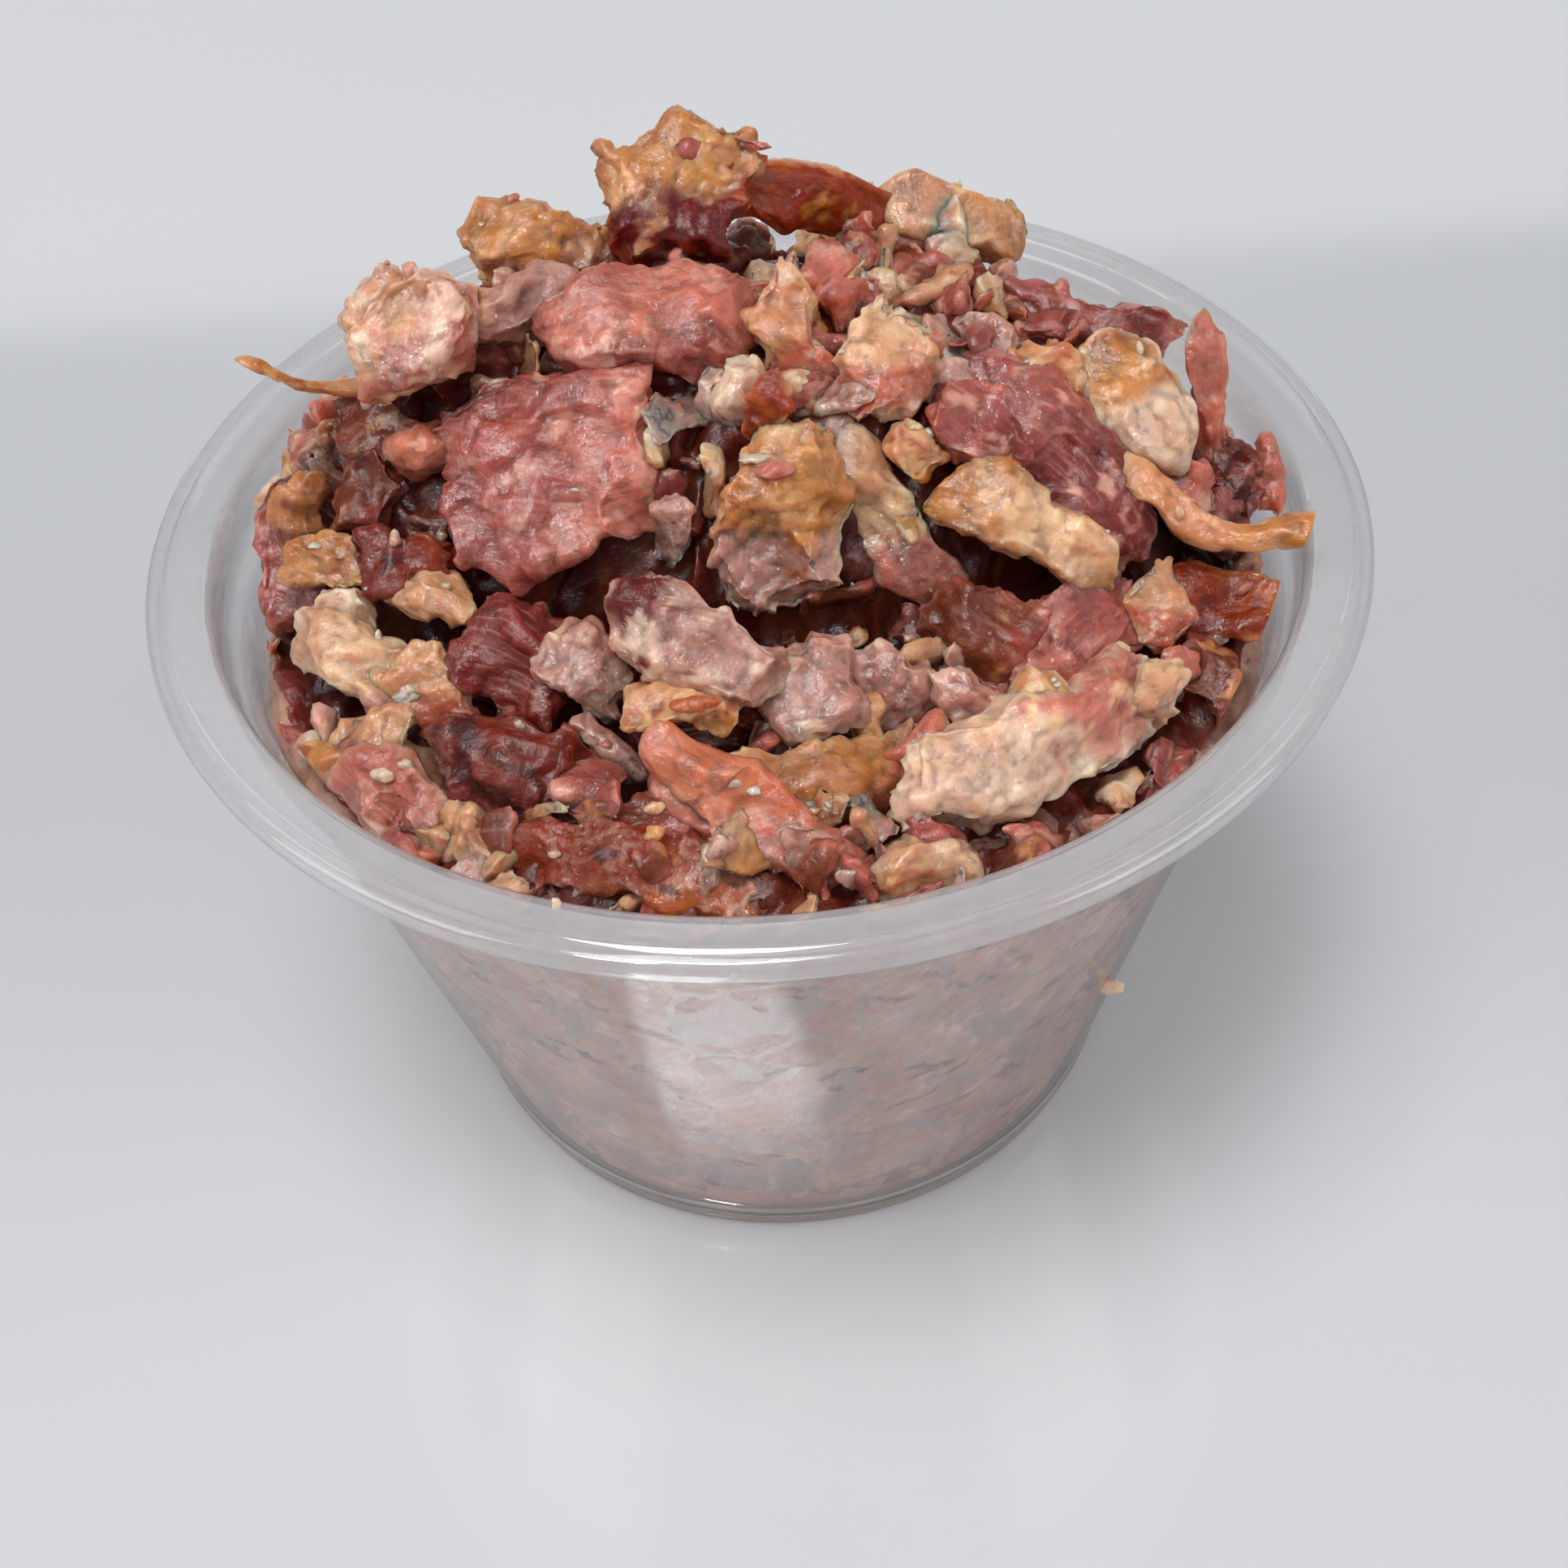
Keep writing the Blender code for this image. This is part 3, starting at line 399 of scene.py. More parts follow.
# Crumbs that the photograph shows: where each lies, its size and its colour
MORSELS = [
    ((-21.4, -20.1), (1.3, 0.9, 0.8), PALE),
    ((-20.2, -19.4), (0.8, 0.6, 0.5), PALE),
    ((-11.3, -31.9), (0.5, 0.5, 0.7), PALE),
    ((-6.5, -25.6), (1.2, 1.0, 0.9), OCHRE),
    ((-6.4, -24.3), (1.0, 0.8, 0.7), PEACH),
    ((1.3, -8.4), (2.0, 1.4, 0.9), ROSE),
    ((0.3, -7.6), (2.2, 0.8, 0.5), PALE),
    ((-1.0, -24.4), (0.8, 0.6, 0.4), PALE),
    ((-3.8, -20.8), (2.6, 1.0, 0.8), AMBER),
]

# The crumb that is stuck to the outside of the cup's wall: where, its size and its colour
STUCK = ((20.8, -17.45, 16.6), (1.9, 0.9, 1.0), PALE)

# A height above everything, from which rays look down, and the lowest that a crumb may lie
SKY = 80.0
LOWEST_CRUMB = SHELF_HEIGHT - 6

# How much shade is painted into the gaps: the size of the cells in a map of the heap's highest points, how
# many cells around a point it looks at, the depths below them where the painted shade starts and is full,
# and how dark the placed pieces, the loose ones and the core are painted there
CEILING_CELL = 0.8
CEILING_REACH = 3
GAP_SHADE_DEPTH = (3.0, 8.0)
PLACED_GAP_SHADE = 0.25
LOOSE_GAP_SHADE = 0.85
CORE_GAP_SHADE = 0.95

# What the meat's mottling multiplies its colour by, and the colours of its fibres, of the shade painted
# into its creases, of its frosty bloom and of the painted glints, near-white specks that stand for glints of
# light
FINE_MOTTLE = ((0.91, 0.84, 0.80, 1), (1.07, 1.06, 1.05, 1))
BROAD_MOTTLE = ((0.82, 0.68, 0.64, 1), (1.07, 1.07, 1.06, 1))
STREAK = (0.74, 0.42, 0.33, 1)
# painted shade in the creases
CREASE_SHADE = (0.20, 0.045, 0.02, 1)
BLOOM = (0.88, 0.72, 0.62, 1)
# painted glints: near-white specks that stand for glints of light
GLINT_WHITE = (1.0, 0.96, 0.92, 1)

# The plastic: how it tints the light straight on and at a glancing angle, the colour of its haze
# at the greasy foot and above it, and how cloudy it is between these heights in millimetres
PLASTIC_THIN = (0.985, 0.985, 0.99, 1)
PLASTIC_THICK = (0.78, 0.785, 0.80, 1)
GREASY_HAZE = (0.72, 0.56, 0.50, 1)
PALE_HAZE = (0.88, 0.87, 0.88, 1)
HAZE_HEIGHTS = (1.6, 2.2)
STAIN_HEIGHTS = (1.6, 2.1)
STEP_HEIGHTS = (37.0, 40.5)
LIP_HEIGHTS = (42.5, 43.5)

# The bright line where the wall leaves the foot, painted as a thin band of white haze: its height, and
# how far from it the painted light fades
LINE_HEIGHT = 2.5
LINE_FADE = (0.12, 0.3)

# The camera: its place in millimetres, its tilt, its lens and the sensor behind it
CAMERA_AT = (0.6, -103.5, 123.7)
ELEVATION = math.radians(45.07)
ROLL = math.radians(4.0)
SENSOR = 36.0
LENS = 48.45

# The floor and the lights, in metres and watts: each light's width and height, its power, its
# place, the point it looks at, and whether it lights surfaces and shows in their gloss
FLOOR_REACH = 3.0
FLOOR_COLOUR = (0.71, 0.725, 0.755, 1)
Light = namedtuple("Light", "name size power place aim diffuse glossy", defaults=[True, True])
LIGHTS = [
    Light("left", (0.4, 0.4), 1.1, (-0.5, -0.2, 0.30), (0, 0, 0.03)),
    Light("right", (0.4, 0.4), 1.1, (0.5, -0.2, 0.30), (0, 0, 0.03)),
    Light("key", (0.2, 0.2), 1.65, (-0.08, -0.1, 0.6), (0, 0, 0.04)),
    Light("front", (0.1, 0.1), 0.09, (0.0, -0.17, 0.2), (0, -0.04, 0.0), glossy=False),
    Light("spark", (0.07, 0.07), 3.5, (-0.2, -0.3, 0.5), (0, 0, 0.05), diffuse=False),
    Light("backdrop", (1.2, 0.45), 1.9, (0.0, 0.9, 0.25), (0, 0, 0.1)),
]
SKY_COLOUR = (0.93, 0.96, 1.0, 1)
SKY_STRENGTH = 0.16


def inner_radius(height):
    """The radius of the cup's tapered inner wall at a height, as if it had no step."""
    foot = FOOT_RADIUS - WALL
    top = RIM_RADIUS - LIP_WIDTH - 2 * STEP_WIDTH
    return foot + (top - foot) * (height - FOOT_HEIGHT) / (CUP_HEIGHT - STEP_DROP - FOOT_HEIGHT)


def cup_floor():
    """The height that the contents rest at, just clear of the cup's floor."""
    return FOOT_HEIGHT + WALL + GAP


def unit(vectors):
    """The same vectors, each one unit long."""
    vectors = np.asarray(vectors, dtype=float)
    return vectors / np.maximum(np.linalg.norm(vectors, axis=-1, keepdims=True), 1e-9)


def step_up(values, low, high):
    """0 below low and 1 above high, with a smooth rise between."""
    share = np.clip((values - low) / (high - low), 0, 1)
    return share * share * (3 - 2 * share)


def toward(tint, colour, share):
    """Colours moved towards another by a share of 0 to 1 at each point."""
    return tint + (colour - tint) * share[:, None]


def picked(colours, number, shuffle):
    """One of the colours for each number of 0 to 1, in an order that the shuffle sets."""
    return np.array(colours)[(number * shuffle).astype(int) % len(colours)]


def waves(points, length, seed):
    """Smooth noise of about -1 to 1 at each point, with swells of about the given length."""
    draw = np.random.default_rng(seed)
    ways = draw.normal(size=(8, 3))
    ways *= draw.uniform(0.6, 1.4, size=(8, 1)) / np.linalg.norm(ways, axis=1, keepdims=True)
    phases = draw.uniform(0, 2 * math.pi, 8)
    return np.sin(points @ ways.T * (2 * math.pi / length) + phases).sum(axis=1) / 3


def lattice(cells, seed):
    """A random number from 0 to 255 for each whole-numbered cell of space."""
    order = np.random.default_rng(seed).permutation(256)
    row = order[cells[:, 0] & 255]
    column = order[(row + cells[:, 1]) & 255]
    return order[(column + cells[:, 2]) & 255]


def grain(points, length, seed):
    """Gradient noise of about -1 to 1 at each point, on a lattice of the given length."""
    slopes = unit(np.random.default_rng(seed).normal(size=(256, 3)))
    scaled = points / length + 0.37 * seed
    base = np.floor(scaled).astype(int)
    part = scaled - base
    ease = part**3 * (part * (part * 6 - 15) + 10)
    total = np.zeros(len(points))
    for corner in np.ndindex(2, 2, 2):
        height = ((part - corner) * slopes[lattice(base + corner, seed)]).sum(axis=1)
        total += height * np.prod(np.where(corner, ease, 1 - ease), axis=1)
    return 1.6 * total


def puffs(points, length, seed):
    """Rounded lobes with sharp creases between them: 0 in the creases, about 1 on top."""
    return np.minimum(1.6 * np.abs(grain(points, length, seed)), 1.2)


def pebbles(points, length, seed):
    """Distances to the nearest and the second of scattered centres, and the nearest's number."""
    scaled = points / length
    base = np.floor(scaled).astype(int)
    near = np.full(len(points), 9.0)
    second = near.copy()
    number = np.zeros(len(points))
    spots = np.random.default_rng(seed).uniform(size=(256, 3))
    for corner in np.ndindex(3, 3, 3):
        cell = base + corner - 1
        index = lattice(cell, seed)
        reach = np.linalg.norm(cell + spots[index] - scaled, axis=1)
        closer = reach < near
        second = np.where(closer, near, np.minimum(second, reach))
        number = np.where(closer, index / 255, number)
        near = np.where(closer, reach, near)
    return near, second, number


def core_top(x, y):
    """The height of the core under the pieces: a shelf that falls to the wall, and a dome."""
    shelf = SHELF_HEIGHT - SHELF_FALL * (x * x + y * y) / inner_radius(SHELF_HEIGHT) ** 2
    side = (x - DOME_CENTRE[0]) / DOME_SIDE
    ahead = y - DOME_CENTRE[1]
    back = DOME_BACK * (1 - DOME_SKEW * np.maximum(side, 0.0))
    ahead = ahead / np.where(ahead > 0, back, DOME_FRONT)
    return shelf + DOME_HEIGHT * np.maximum(0.0, 1 - side * side - ahead * ahead) ** DOME_POWER


def block(cells):
    """The surface of a cube from -1 to 1, cut into cells along each axis, as points and quads."""
    corners = []
    quads = []
    start = 0
    for axis in range(3):
        u, v = (axis + 1) % 3, (axis + 2) % 3
        for side in (0, cells[axis]):
            i, j = np.meshgrid(np.arange(cells[u] + 1), np.arange(cells[v] + 1), indexing="ij")
            face = np.zeros((i.size, 3), int)
            face[:, axis] = side
            face[:, u] = i.ravel()
            face[:, v] = j.ravel()
            index = np.arange(i.size).reshape(i.shape) + start
            quad = np.stack([index[:-1, :-1], index[1:, :-1], index[1:, 1:], index[:-1, 1:]], axis=-1)
            quad = quad.reshape(-1, 4)
            quads.append(quad if side else quad[:, ::-1])
            corners.append(face)
            start += i.size
    corners, where = np.unique(np.concatenate(corners), axis=0, return_inverse=True)
    return 2 * corners / np.array(cells) - 1, where.reshape(-1)[np.concatenate(quads)]


def normals(points, quads):
    """The outward direction at each point."""
    first, second, third, fourth = (points[quads[:, k]] for k in range(4))
    across = np.cross(third - first, fourth - second)
    total = np.zeros_like(points)
    for k in range(4):
        for axis in range(3):
            total[:, axis] += np.bincount(quads[:, k], across[:, axis], len(points))
    return unit(total)


def cut_flat(points, size, seed):
    """A slab's points with its corners taken off by a few flat cuts, as torn meat has."""
    draw = np.random.default_rng(seed + FACET_DRAW)
    dual = SQUARENESS / (SQUARENESS - 1)
    for way in unit(draw.normal(size=(FACETS, 3)) * np.array(size)[::-1]):
        reach = (np.abs(way * np.array(size) / 2) ** dual).sum() ** (1 / dual)
        over = np.maximum(points @ way - reach * draw.uniform(*FACET_DEPTH), 0)
        points = points - over[:, None] * way
    return points


def worn_slab(bit, seed, points, work):
    """A cube's points turned into a ragged slab that lies and bows as the piece does.

    Also returns each point in the piece's own directions, and how near it is to the outline.
    """
    size = np.array(bit.size)
    half = size / 2
    square = (np.abs(points) ** SQUARENESS).sum(axis=1) ** (1 / SQUARENESS)
    flat = cut_flat(points / square[:, None] * size / 2, bit.size, seed)
    level = flat * np.array([1, 1, 0])
    rim = (np.abs(flat[:, :2] / half[:2]) ** 4).sum(axis=1) ** 0.25
    edge = step_up(rim, 0.5, 1.0)
    scallops = 0.4 * grain(level, 1.7, seed + 10) + 0.5 * (puffs(level, 2.0, seed + 11) - 0.5)
    scallops += 1.4 * grain(level, 4.2, seed + 13) + 0.22 * grain(level, 0.8, seed + 14)
    outward = unit(level)[:, :2]
    torn = step_up(np.abs(flat[:, 0]) / half[0], 0.55, 1.0) * np.sign(flat[:, 0])
    threads = grain(flat * np.array([0.12, 1, 1]), 0.6, seed + 12)
    flat[:, :2] *= 1 + RAGGED[bit.kind] * waves(level, OUTLINE_SWELL, seed)[:, None]
    flat[:, 2] *= 1 + UNEVEN * waves(level, FACE_SWELL, seed + FACE_DRAW)
    flat[:, :2] += outward * (work.scallops * edge * scallops)[:, None]
    flat[:, 0] += work.frays * torn * threads
    share = flat[:, :1] / bit.size[0]
    bow = np.array(bit.bow)
    middle = np.array(bit.at) + unit(bit.way) * flat[:, :1] - 4 * bow * share**2
    way = unit(unit(bit.way) * bit.size[0] - 8 * bow * share)
    side = unit(np.cross(bit.face, way))
    at = middle + side * flat[:, 1:2] + np.cross(way, side) * flat[:, 2:]
    bumps = [waves(at, BUMP_SWELL, seed + BUMP_DRAW + axis) for axis in range(3)]
    return at + BUMP * np.stack(bumps, axis=1), flat, edge


def held_in_cup(points, seed):
    """The same points, kept off the cup's wall and floor with some room to spare."""
    spare = SPARE[0] + SPARE[1] * (SPREAD * seed % 1.0)
    height = np.maximum(points[:, 2], cup_floor() + spare)
    limit = inner_radius(height) - GAP - spare
    scale = np.minimum(1.0, limit / np.maximum(np.hypot(points[:, 0], points[:, 1]), 0.1))
    return np.column_stack([points[:, :2] * scale[:, None], height])


def relief(at, flat, seed, work):
    """How far the surface stands out at each point, how deep in a crease it lies (0 to 1), and
    the number of the clump that it belongs to (0 to 1)."""
    lumps = 0.7 * grain(at, 2.3, seed + 20) + 0.3 * grain(at, 1.1, seed + 21)
    lobes = 0.65 * puffs(at, 1.5, seed + 22) + 0.35 * puffs(at, 0.75, seed + 23)
    crests = 0.6 * puffs(at, 1.7, seed + 25) + 0.4 * puffs(at, 0.8, seed + 26)
    threads = puffs(flat * np.array([0.14, 1, 1]), 0.55, seed + 24)
    warp = np.stack([grain(at, 1.3, seed + 40 + axis) for axis in range(3)], axis=1)
    near, second, number = pebbles(at + 0.6 * warp, 2.6, seed + 27)
    seam = 1 - step_up(second - near, 0.0, 0.35)
    steps = 2.0 * grain(at + 0.5 * warp, 3.8, seed + 28)
    layers = np.floor(steps) + step_up(steps - np.floor(steps), 0.82, 1.0)
    height = work.lumps * lumps + work.lobes * (lobes - 0.5) + work.crests * (0.5 - crests)
    height += work.clumps * (number - 0.5 - 0.7 * seam) + work.layers * layers
    height += work.fibres * (threads - 0.5)
    depth = work.lobes * (1 - lobes) + work.crests * crests + 0.5 * work.fibres * (1 - threads)
    depth = depth / (work.lobes + work.crests + 0.5 * work.fibres)
    return height, np.maximum(depth, seam * min(1.0, 3 * work.clumps)), number


def tinted(bit, look, at, edge, crease, number, seed):
    """The piece's colour at each point."""
    middle = np.array(bit.at)
    reach = np.abs(unit(look.towards)) @ np.sort(np.array(bit.size))[::-1] / 2
    along = (at - middle) @ unit(look.towards) / max(reach, 1.0)
    along += 0.35 * grain(at, 2.4, seed + 30) + 0.15 * grain(at, 0.9, seed + 31)
    share = step_up(along, look.share - 0.22, look.share + 0.22)
    colour = toward(look.main, look.other, share)
    patches = grain(at, 1.7, seed + 32) + 0.5 * grain(at, 0.8, seed + 33) + number - 0.5
    patch = step_up(patches, 0.75 - 1.1 * look.amount, 1.0 - 1.1 * look.amount)
    colour = toward(colour, look.blotch, 0.8 * patch)
    # painted glow: a paler colour along the thin outline, standing in for light that shines through it
    thin = step_up(edge + 0.35 * grain(at, 1.1, seed + 34), 0.72, 1.15)
    colour = toward(colour, look.edge, 0.8 * thin)
    # random tone from clump to clump, times painted shade that darkens the creases
    shade = (0.82 + 0.22 * number) * (1 - 0.4 * step_up(crease, 0.45, 1.0))
    grey = colour.mean(axis=1, keepdims=True)
    return (grey + RICHNESS * (colour - grey)) * shade[:, None]


def sculpted(bit, seed, spacing, look=None):
    """One piece of bacon as a fine surface."""
    cells = [max(4, round(side / spacing)) for side in bit.size]
    points, quads = block(cells)
    work = WORKS[bit.kind]
    at, flat, edge = worn_slab(bit, seed, points, work)
    height, crease, number = relief(at, flat, seed, work)
    at = at + normals(at, quads) * height[:, None]
    at = held_in_cup(at, seed)
    look = look or LOOKS.get(bit.name, KIND_LOOKS[bit.kind])
    return Surface(at, quads, tinted(bit, look, at, edge, crease, number, seed), flat, crease)


def joined(surfaces):
    """Several surfaces as one."""
    starts = np.cumsum([0] + [len(surface.points) for surface in surfaces[:-1]])
    moved = [surface._replace(quads=surface.quads + start) for surface, start in zip(surfaces, starts)]
    return Surface(*(np.concatenate(values) for values in zip(*moved)))


def store(mesh, name, kind, field, values):
    """Keeps a value for each point of a mesh, for its material to read."""
    mesh.attributes.new(name, kind, "POINT").data.foreach_set(field, values.ravel())


def shown(name, surface, material, node):
    """A surface as an object that stands for a CAD node."""
    mesh = bpy.data.meshes.new(name)
    quads = surface.quads
    mesh.vertices.add(len(surface.points))
    mesh.vertices.foreach_set("co", (surface.points * MM).astype(np.float32).ravel())
    mesh.loops.add(quads.size)
    mesh.loops.foreach_set("vertex_index", quads.astype(np.int32).ravel())
    mesh.polygons.add(len(quads))
    mesh.polygons.foreach_set("loop_start", np.arange(0, quads.size, 4, dtype=np.int32))
    mesh.polygons.foreach_set("loop_total", np.full(len(quads), 4, dtype=np.int32))
    mesh.update(calc_edges=True)
    mesh.shade_smooth()
    if surface.tint is not None:
        tint = np.column_stack([np.clip(surface.tint, 0, 1), np.ones(len(surface.points))])
        store(mesh, "tint", "FLOAT_COLOR", "color", tint)
        store(mesh, "flat", "FLOAT_VECTOR", "vector", surface.flat)
        store(mesh, "crease", "FLOAT", "value", surface.crease)
    mesh.materials.append(material)
    piece = bpy.data.objects.new(name, mesh)
    bpy.context.scene.collection.objects.link(piece)
    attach(piece, "root")
    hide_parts(node)
    return piece


def loose_bit(name, centre, face, draw):
    """A piece of random size and turn, lying with its face the given way."""
    face = unit(face)
    side = unit(np.cross(face, (0.3, 0.5, 0.8)))
    turn = draw.uniform(0, math.pi)
    way = side * math.cos(turn) + np.cross(face, side) * math.sin(turn)
    size = [draw.uniform(*sizes) for sizes in (LOOSE_LENGTH, LOOSE_WIDTH, LOOSE_THICKNESS)]
    kind = LOOSE_KINDS[draw.integers(len(LOOSE_KINDS))]
    return Bit(name, kind, size, centre, way, face, face * draw.uniform(*LOOSE_BOW))


def loose_bits():
    """The pieces behind the wall and over the back of the heap, spread evenly by rows."""
    draw = np.random.default_rng(SEED)
    bits = []
    for height, count in WALL_ROWS:
        start = draw.uniform()
        for i in range(count):
            angle = 2 * math.pi * (i + start + draw.uniform(-0.2, 0.2)) / count
            tall = height + draw.uniform(-1.5, 1.5)
            radius = inner_radius(tall) - GAP - CORE_INSET
            face = (math.cos(angle), math.sin(angle), -0.2)
            centre = (radius * math.cos(angle), radius * math.sin(angle), tall)
            bits.append(loose_bit(f"wall_{height:.0f}_{i}", centre, face, draw))
    for radius, count in BACK_ARCS:
        for i in range(count):
            angle = math.radians(ARC_START + ARC_SPAN * (i + 0.5 + draw.uniform(-0.3, 0.3)) / count)
            x, y = radius * math.cos(angle), radius * math.sin(angle)
            centre = (x, y, core_top(x, y) - ARC_SINK)
            face = (0.6 * math.cos(angle), 0.6 * math.sin(angle), 1.0)
            bits.append(loose_bit(f"back_{radius:.0f}_{i}", centre, face, draw))
    return bits


def turned(profile, sides):
    """Points and quads of a section spun about Z. It starts and ends on the axis."""
    profile = np.array(profile)
    angles = 2 * math.pi * np.arange(sides) / sides
    rings = np.stack(
        [
            np.outer(profile[:, 0], np.cos(angles)),
            np.outer(profile[:, 0], np.sin(angles)),
            np.repeat(profile[:, 1:], sides, axis=1),
        ],
        axis=-1,
    )
    index = np.arange(len(profile) * sides).reshape(len(profile), sides)
    after = np.roll(index, -1, axis=1)
    quads = np.stack([index[:-1], after[:-1], after[1:], index[1:]], axis=-1).reshape(-1, 4)
    return rings.reshape(-1, 3), quads


def threads_on_wall(points):
    """How much of each point is covered by a short dark thread of meat pressed to the wall."""
    draw = np.random.default_rng(SEED)
    angles = np.arctan2(points[:, 1], points[:, 0])
    cover = np.zeros(len(points))
    for _ in range(THREAD_GROUPS):
        middle = np.array([draw.uniform(-math.pi, math.pi), draw.uniform(5, 38)])
        slope = draw.uniform(-0.5, 0.3)
        for _ in range(draw.integers(1, 6)):
            angle, height = middle + draw.normal(size=2) * THREAD_SPREAD
            turn = slope + draw.normal() * 0.12
            half = draw.uniform(*THREAD_HALF)
            around = (angles - angle + math.pi) % (2 * math.pi) - math.pi
            x, y = around * inner_radius(height), points[:, 2] - height
            along = x * math.cos(turn) + y * math.sin(turn)
            across = y * math.cos(turn) - x * math.sin(turn) + 0.12 * np.sin(2.2 * along)
            reach = np.hypot(np.maximum(np.abs(along) - half, 0), across)
            strength = draw.uniform(0.7, 1.0)
            cover = np.maximum(cover, strength * (1 - step_up(reach, *THREAD_FADE)))
    return cover


def contents_profile(floor, top):
    """The contents' section as (radius, height), from the cup's floor up its wall and inwards."""
    outer = inner_radius(floor)
    wall = np.linspace(floor + 0.2, top, SIDE_RINGS)
    section = [(0.0, floor), (outer - 3.0, floor), (outer - 0.6, floor + 0.05)]
    section += [(inner_radius(height), height) for height in wall]
    section += [(inner_radius(top) - inset, top + 0.2 * inset) for inset in np.linspace(0.4, 4.0, 10)]
    return section + [(0.0, top - 1.0)]


def contents_tint(points, chunks, crumbs, reach, pressed, field, hollow):
    """The contents' colours: mixed chunks and specks, paler where they press on the wall, with painted
    shade in the recesses and hollows between them and a painted highlight along the pressed patches' brinks.

    The reach is each point's distance from its crumb's middle, in crumbs.
    """
    mix = 0.5 + 0.5 * np.clip(grain(points, 2.2, 65), -1, 1)
    tint = picked(WALL_COLOURS, chunks, 997)
    tint = toward(tint, picked(WALL_COLOURS, crumbs, 991), 0.3 * mix)
    tint = toward(tint, WALL_PALE, 0.2 + 0.5 * pressed)
    # painted shade in the recesses between the pressed patches
    tint = toward(tint, HOLLOW_SHADE, 0.22 * (1 - pressed))
    speck = (1 - step_up(reach, 0.16, 0.3)) * step_up(crumbs, 0.62, 0.7)
    tint = toward(tint, PALE, 0.8 * speck)
    tint = toward(tint, MAUVE, 0.3 * step_up(grain(points, 6.0, 77), 0.1, 0.6))
    # painted highlight: a pale rim along the brink of each pressed patch
    brink_highlight = pressed * (1 - step_up(field, -0.34, -0.2))
    tint = toward(tint, PALE, 0.4 * brink_highlight)
    # painted shade in the hollows
    tint = toward(tint, HOLLOW_SHADE, 0.7 * hollow)
    return toward(tint, THREAD, threads_on_wall(points))


def make_contents(material):
    """The meat that shows through the cup: chunks pressed to the wall, with hollows between."""
    floor = FOOT_HEIGHT + 0.1
    top = SHELF_HEIGHT - SHELF_FALL - 0.4
    points, quads = turned(contents_profile(floor, top), SIDE_SEGMENTS)
    height = points[:, 2].copy()
    radius = np.hypot(points[:, 0], points[:, 1])
    wall = radius > inner_radius(height) - 0.3
    bent = points + 1.2 * np.stack([grain(points, 3.6, 50 + axis) for axis in range(3)], axis=1)
    bent += 0.4 * np.stack([grain(points, 1.4, 53 + axis) for axis in range(3)], axis=1)
    near, second, chunks = pebbles(bent, WALL_CHUNK, 60)
    small, beside, crumbs = pebbles(bent, WALL_CRUMB, 61)
    field = grain(bent, 5.0, 68) + 0.5 * grain(bent, 2.2, 74) + 0.28 * grain(bent, 1.0, 75)
    pressed = step_up(field, -0.5, -0.34)
    hollow = step_up(grain(bent, 5.5, 62), 0.56, 0.7)
    seams = 0.25 * (1 - step_up(second - near, 0.0, 0.1))
    seams += 0.1 * (1 - step_up(beside - small, 0.0, 0.14))
    fine = 0.04 * grain(points, 0.8, 63) + 0.05 * puffs(points, 1.4, 64)
    deep = np.clip(0.9 * (1 - pressed) + seams + 1.6 * hollow + fine, 0, HOLLOW_DEPTH)
    foot = step_up(height, floor + 0.2, floor + 1.4)
    wanted = inner_radius(height) + PRESSED - deep * (0.2 + 0.8 * foot) - 0.3 * (1 - foot)
    points[wall, :2] *= (wanted / np.maximum(radius, 1))[wall, None]
    upper = step_up(height, top - 3.0, top)
    points[:, 2] += upper * (1.3 * grain(points, 4.5, 69) + 0.6 * grain(points, 1.4, 73) - 0.4)
    points[:, 2] -= TOP_SINK * upper * step_up(points[:, 1], -24.0, -10.0)
    tint = contents_tint(points, chunks, crumbs, small, pressed, field, hollow)
    # painted shade on the top where it sinks in from the wall, into the gap beside the heap
    sunk = step_up(inner_radius(points[:, 2]) - radius, 0.3, 1.6) * upper
    tint = toward(tint, GAP_SHADE_RED, 0.6 * sunk)
    crease = deep / HOLLOW_DEPTH
    shown("bacon_in_cup", Surface(points, quads, tint, points.copy(), crease), material, "bacon_heap")


def make_core(material, ceiling):
    """The crumbly mass that the pieces lie on, painted a dark gap red as the shade between them, darkest in
    its creases.
    """
    edge = inner_radius(SHELF_HEIGHT - SHELF_FALL) - GAP - 0.8
    base = SHELF_HEIGHT - SHELF_FALL - 2.0
    profile = [(0.0, base), (edge - 1.0, base)]
    profile += [(edge * share, base + 3.0) for share in np.linspace(1.0, 0.0, TOP_RINGS)]
    points, quads = turned(profile, TOP_SEGMENTS)
    over = points[:, 2] > base + 1.0
    top = core_top(points[:, 0], points[:, 1])
    near, second, number = pebbles(points, CORE_LUMP, 70)
    lumps = 1.3 * step_up(second - near, 0.0, 0.5)
    lumps += 0.5 * grain(points, 1.2, 71) + 0.3 * puffs(points, 0.9, 72)
    points[over, 2] = top[over] - 1.1 + lumps[over]
    points[over, 0] += 0.6 * grain(points, 1.8, 78)[over]
    points[over, 1] += 0.6 * grain(points, 1.8, 79)[over]
    crease = 1 - step_up(second - near, 0.0, 0.4)
    # painted shade: the core's colours pulled towards the gap's dark red, more in its creases
    tint = toward(picked(CORE_COLOURS, number, 993), GAP_SHADE_RED, 0.6 + 0.3 * crease)
    core = gap_shaded(Surface(points, quads, tint, points.copy(), crease), ceiling, CORE_GAP_SHADE)
    shown("bacon_core", core, material, "bacon_heap")


def cell_of(points):
    """The columns and rows of the map's cells that points lie in."""
    cells = ((points[:, :2] + RIM_RADIUS) / CEILING_CELL).astype(int)
    return cells[:, 0], cells[:, 1]


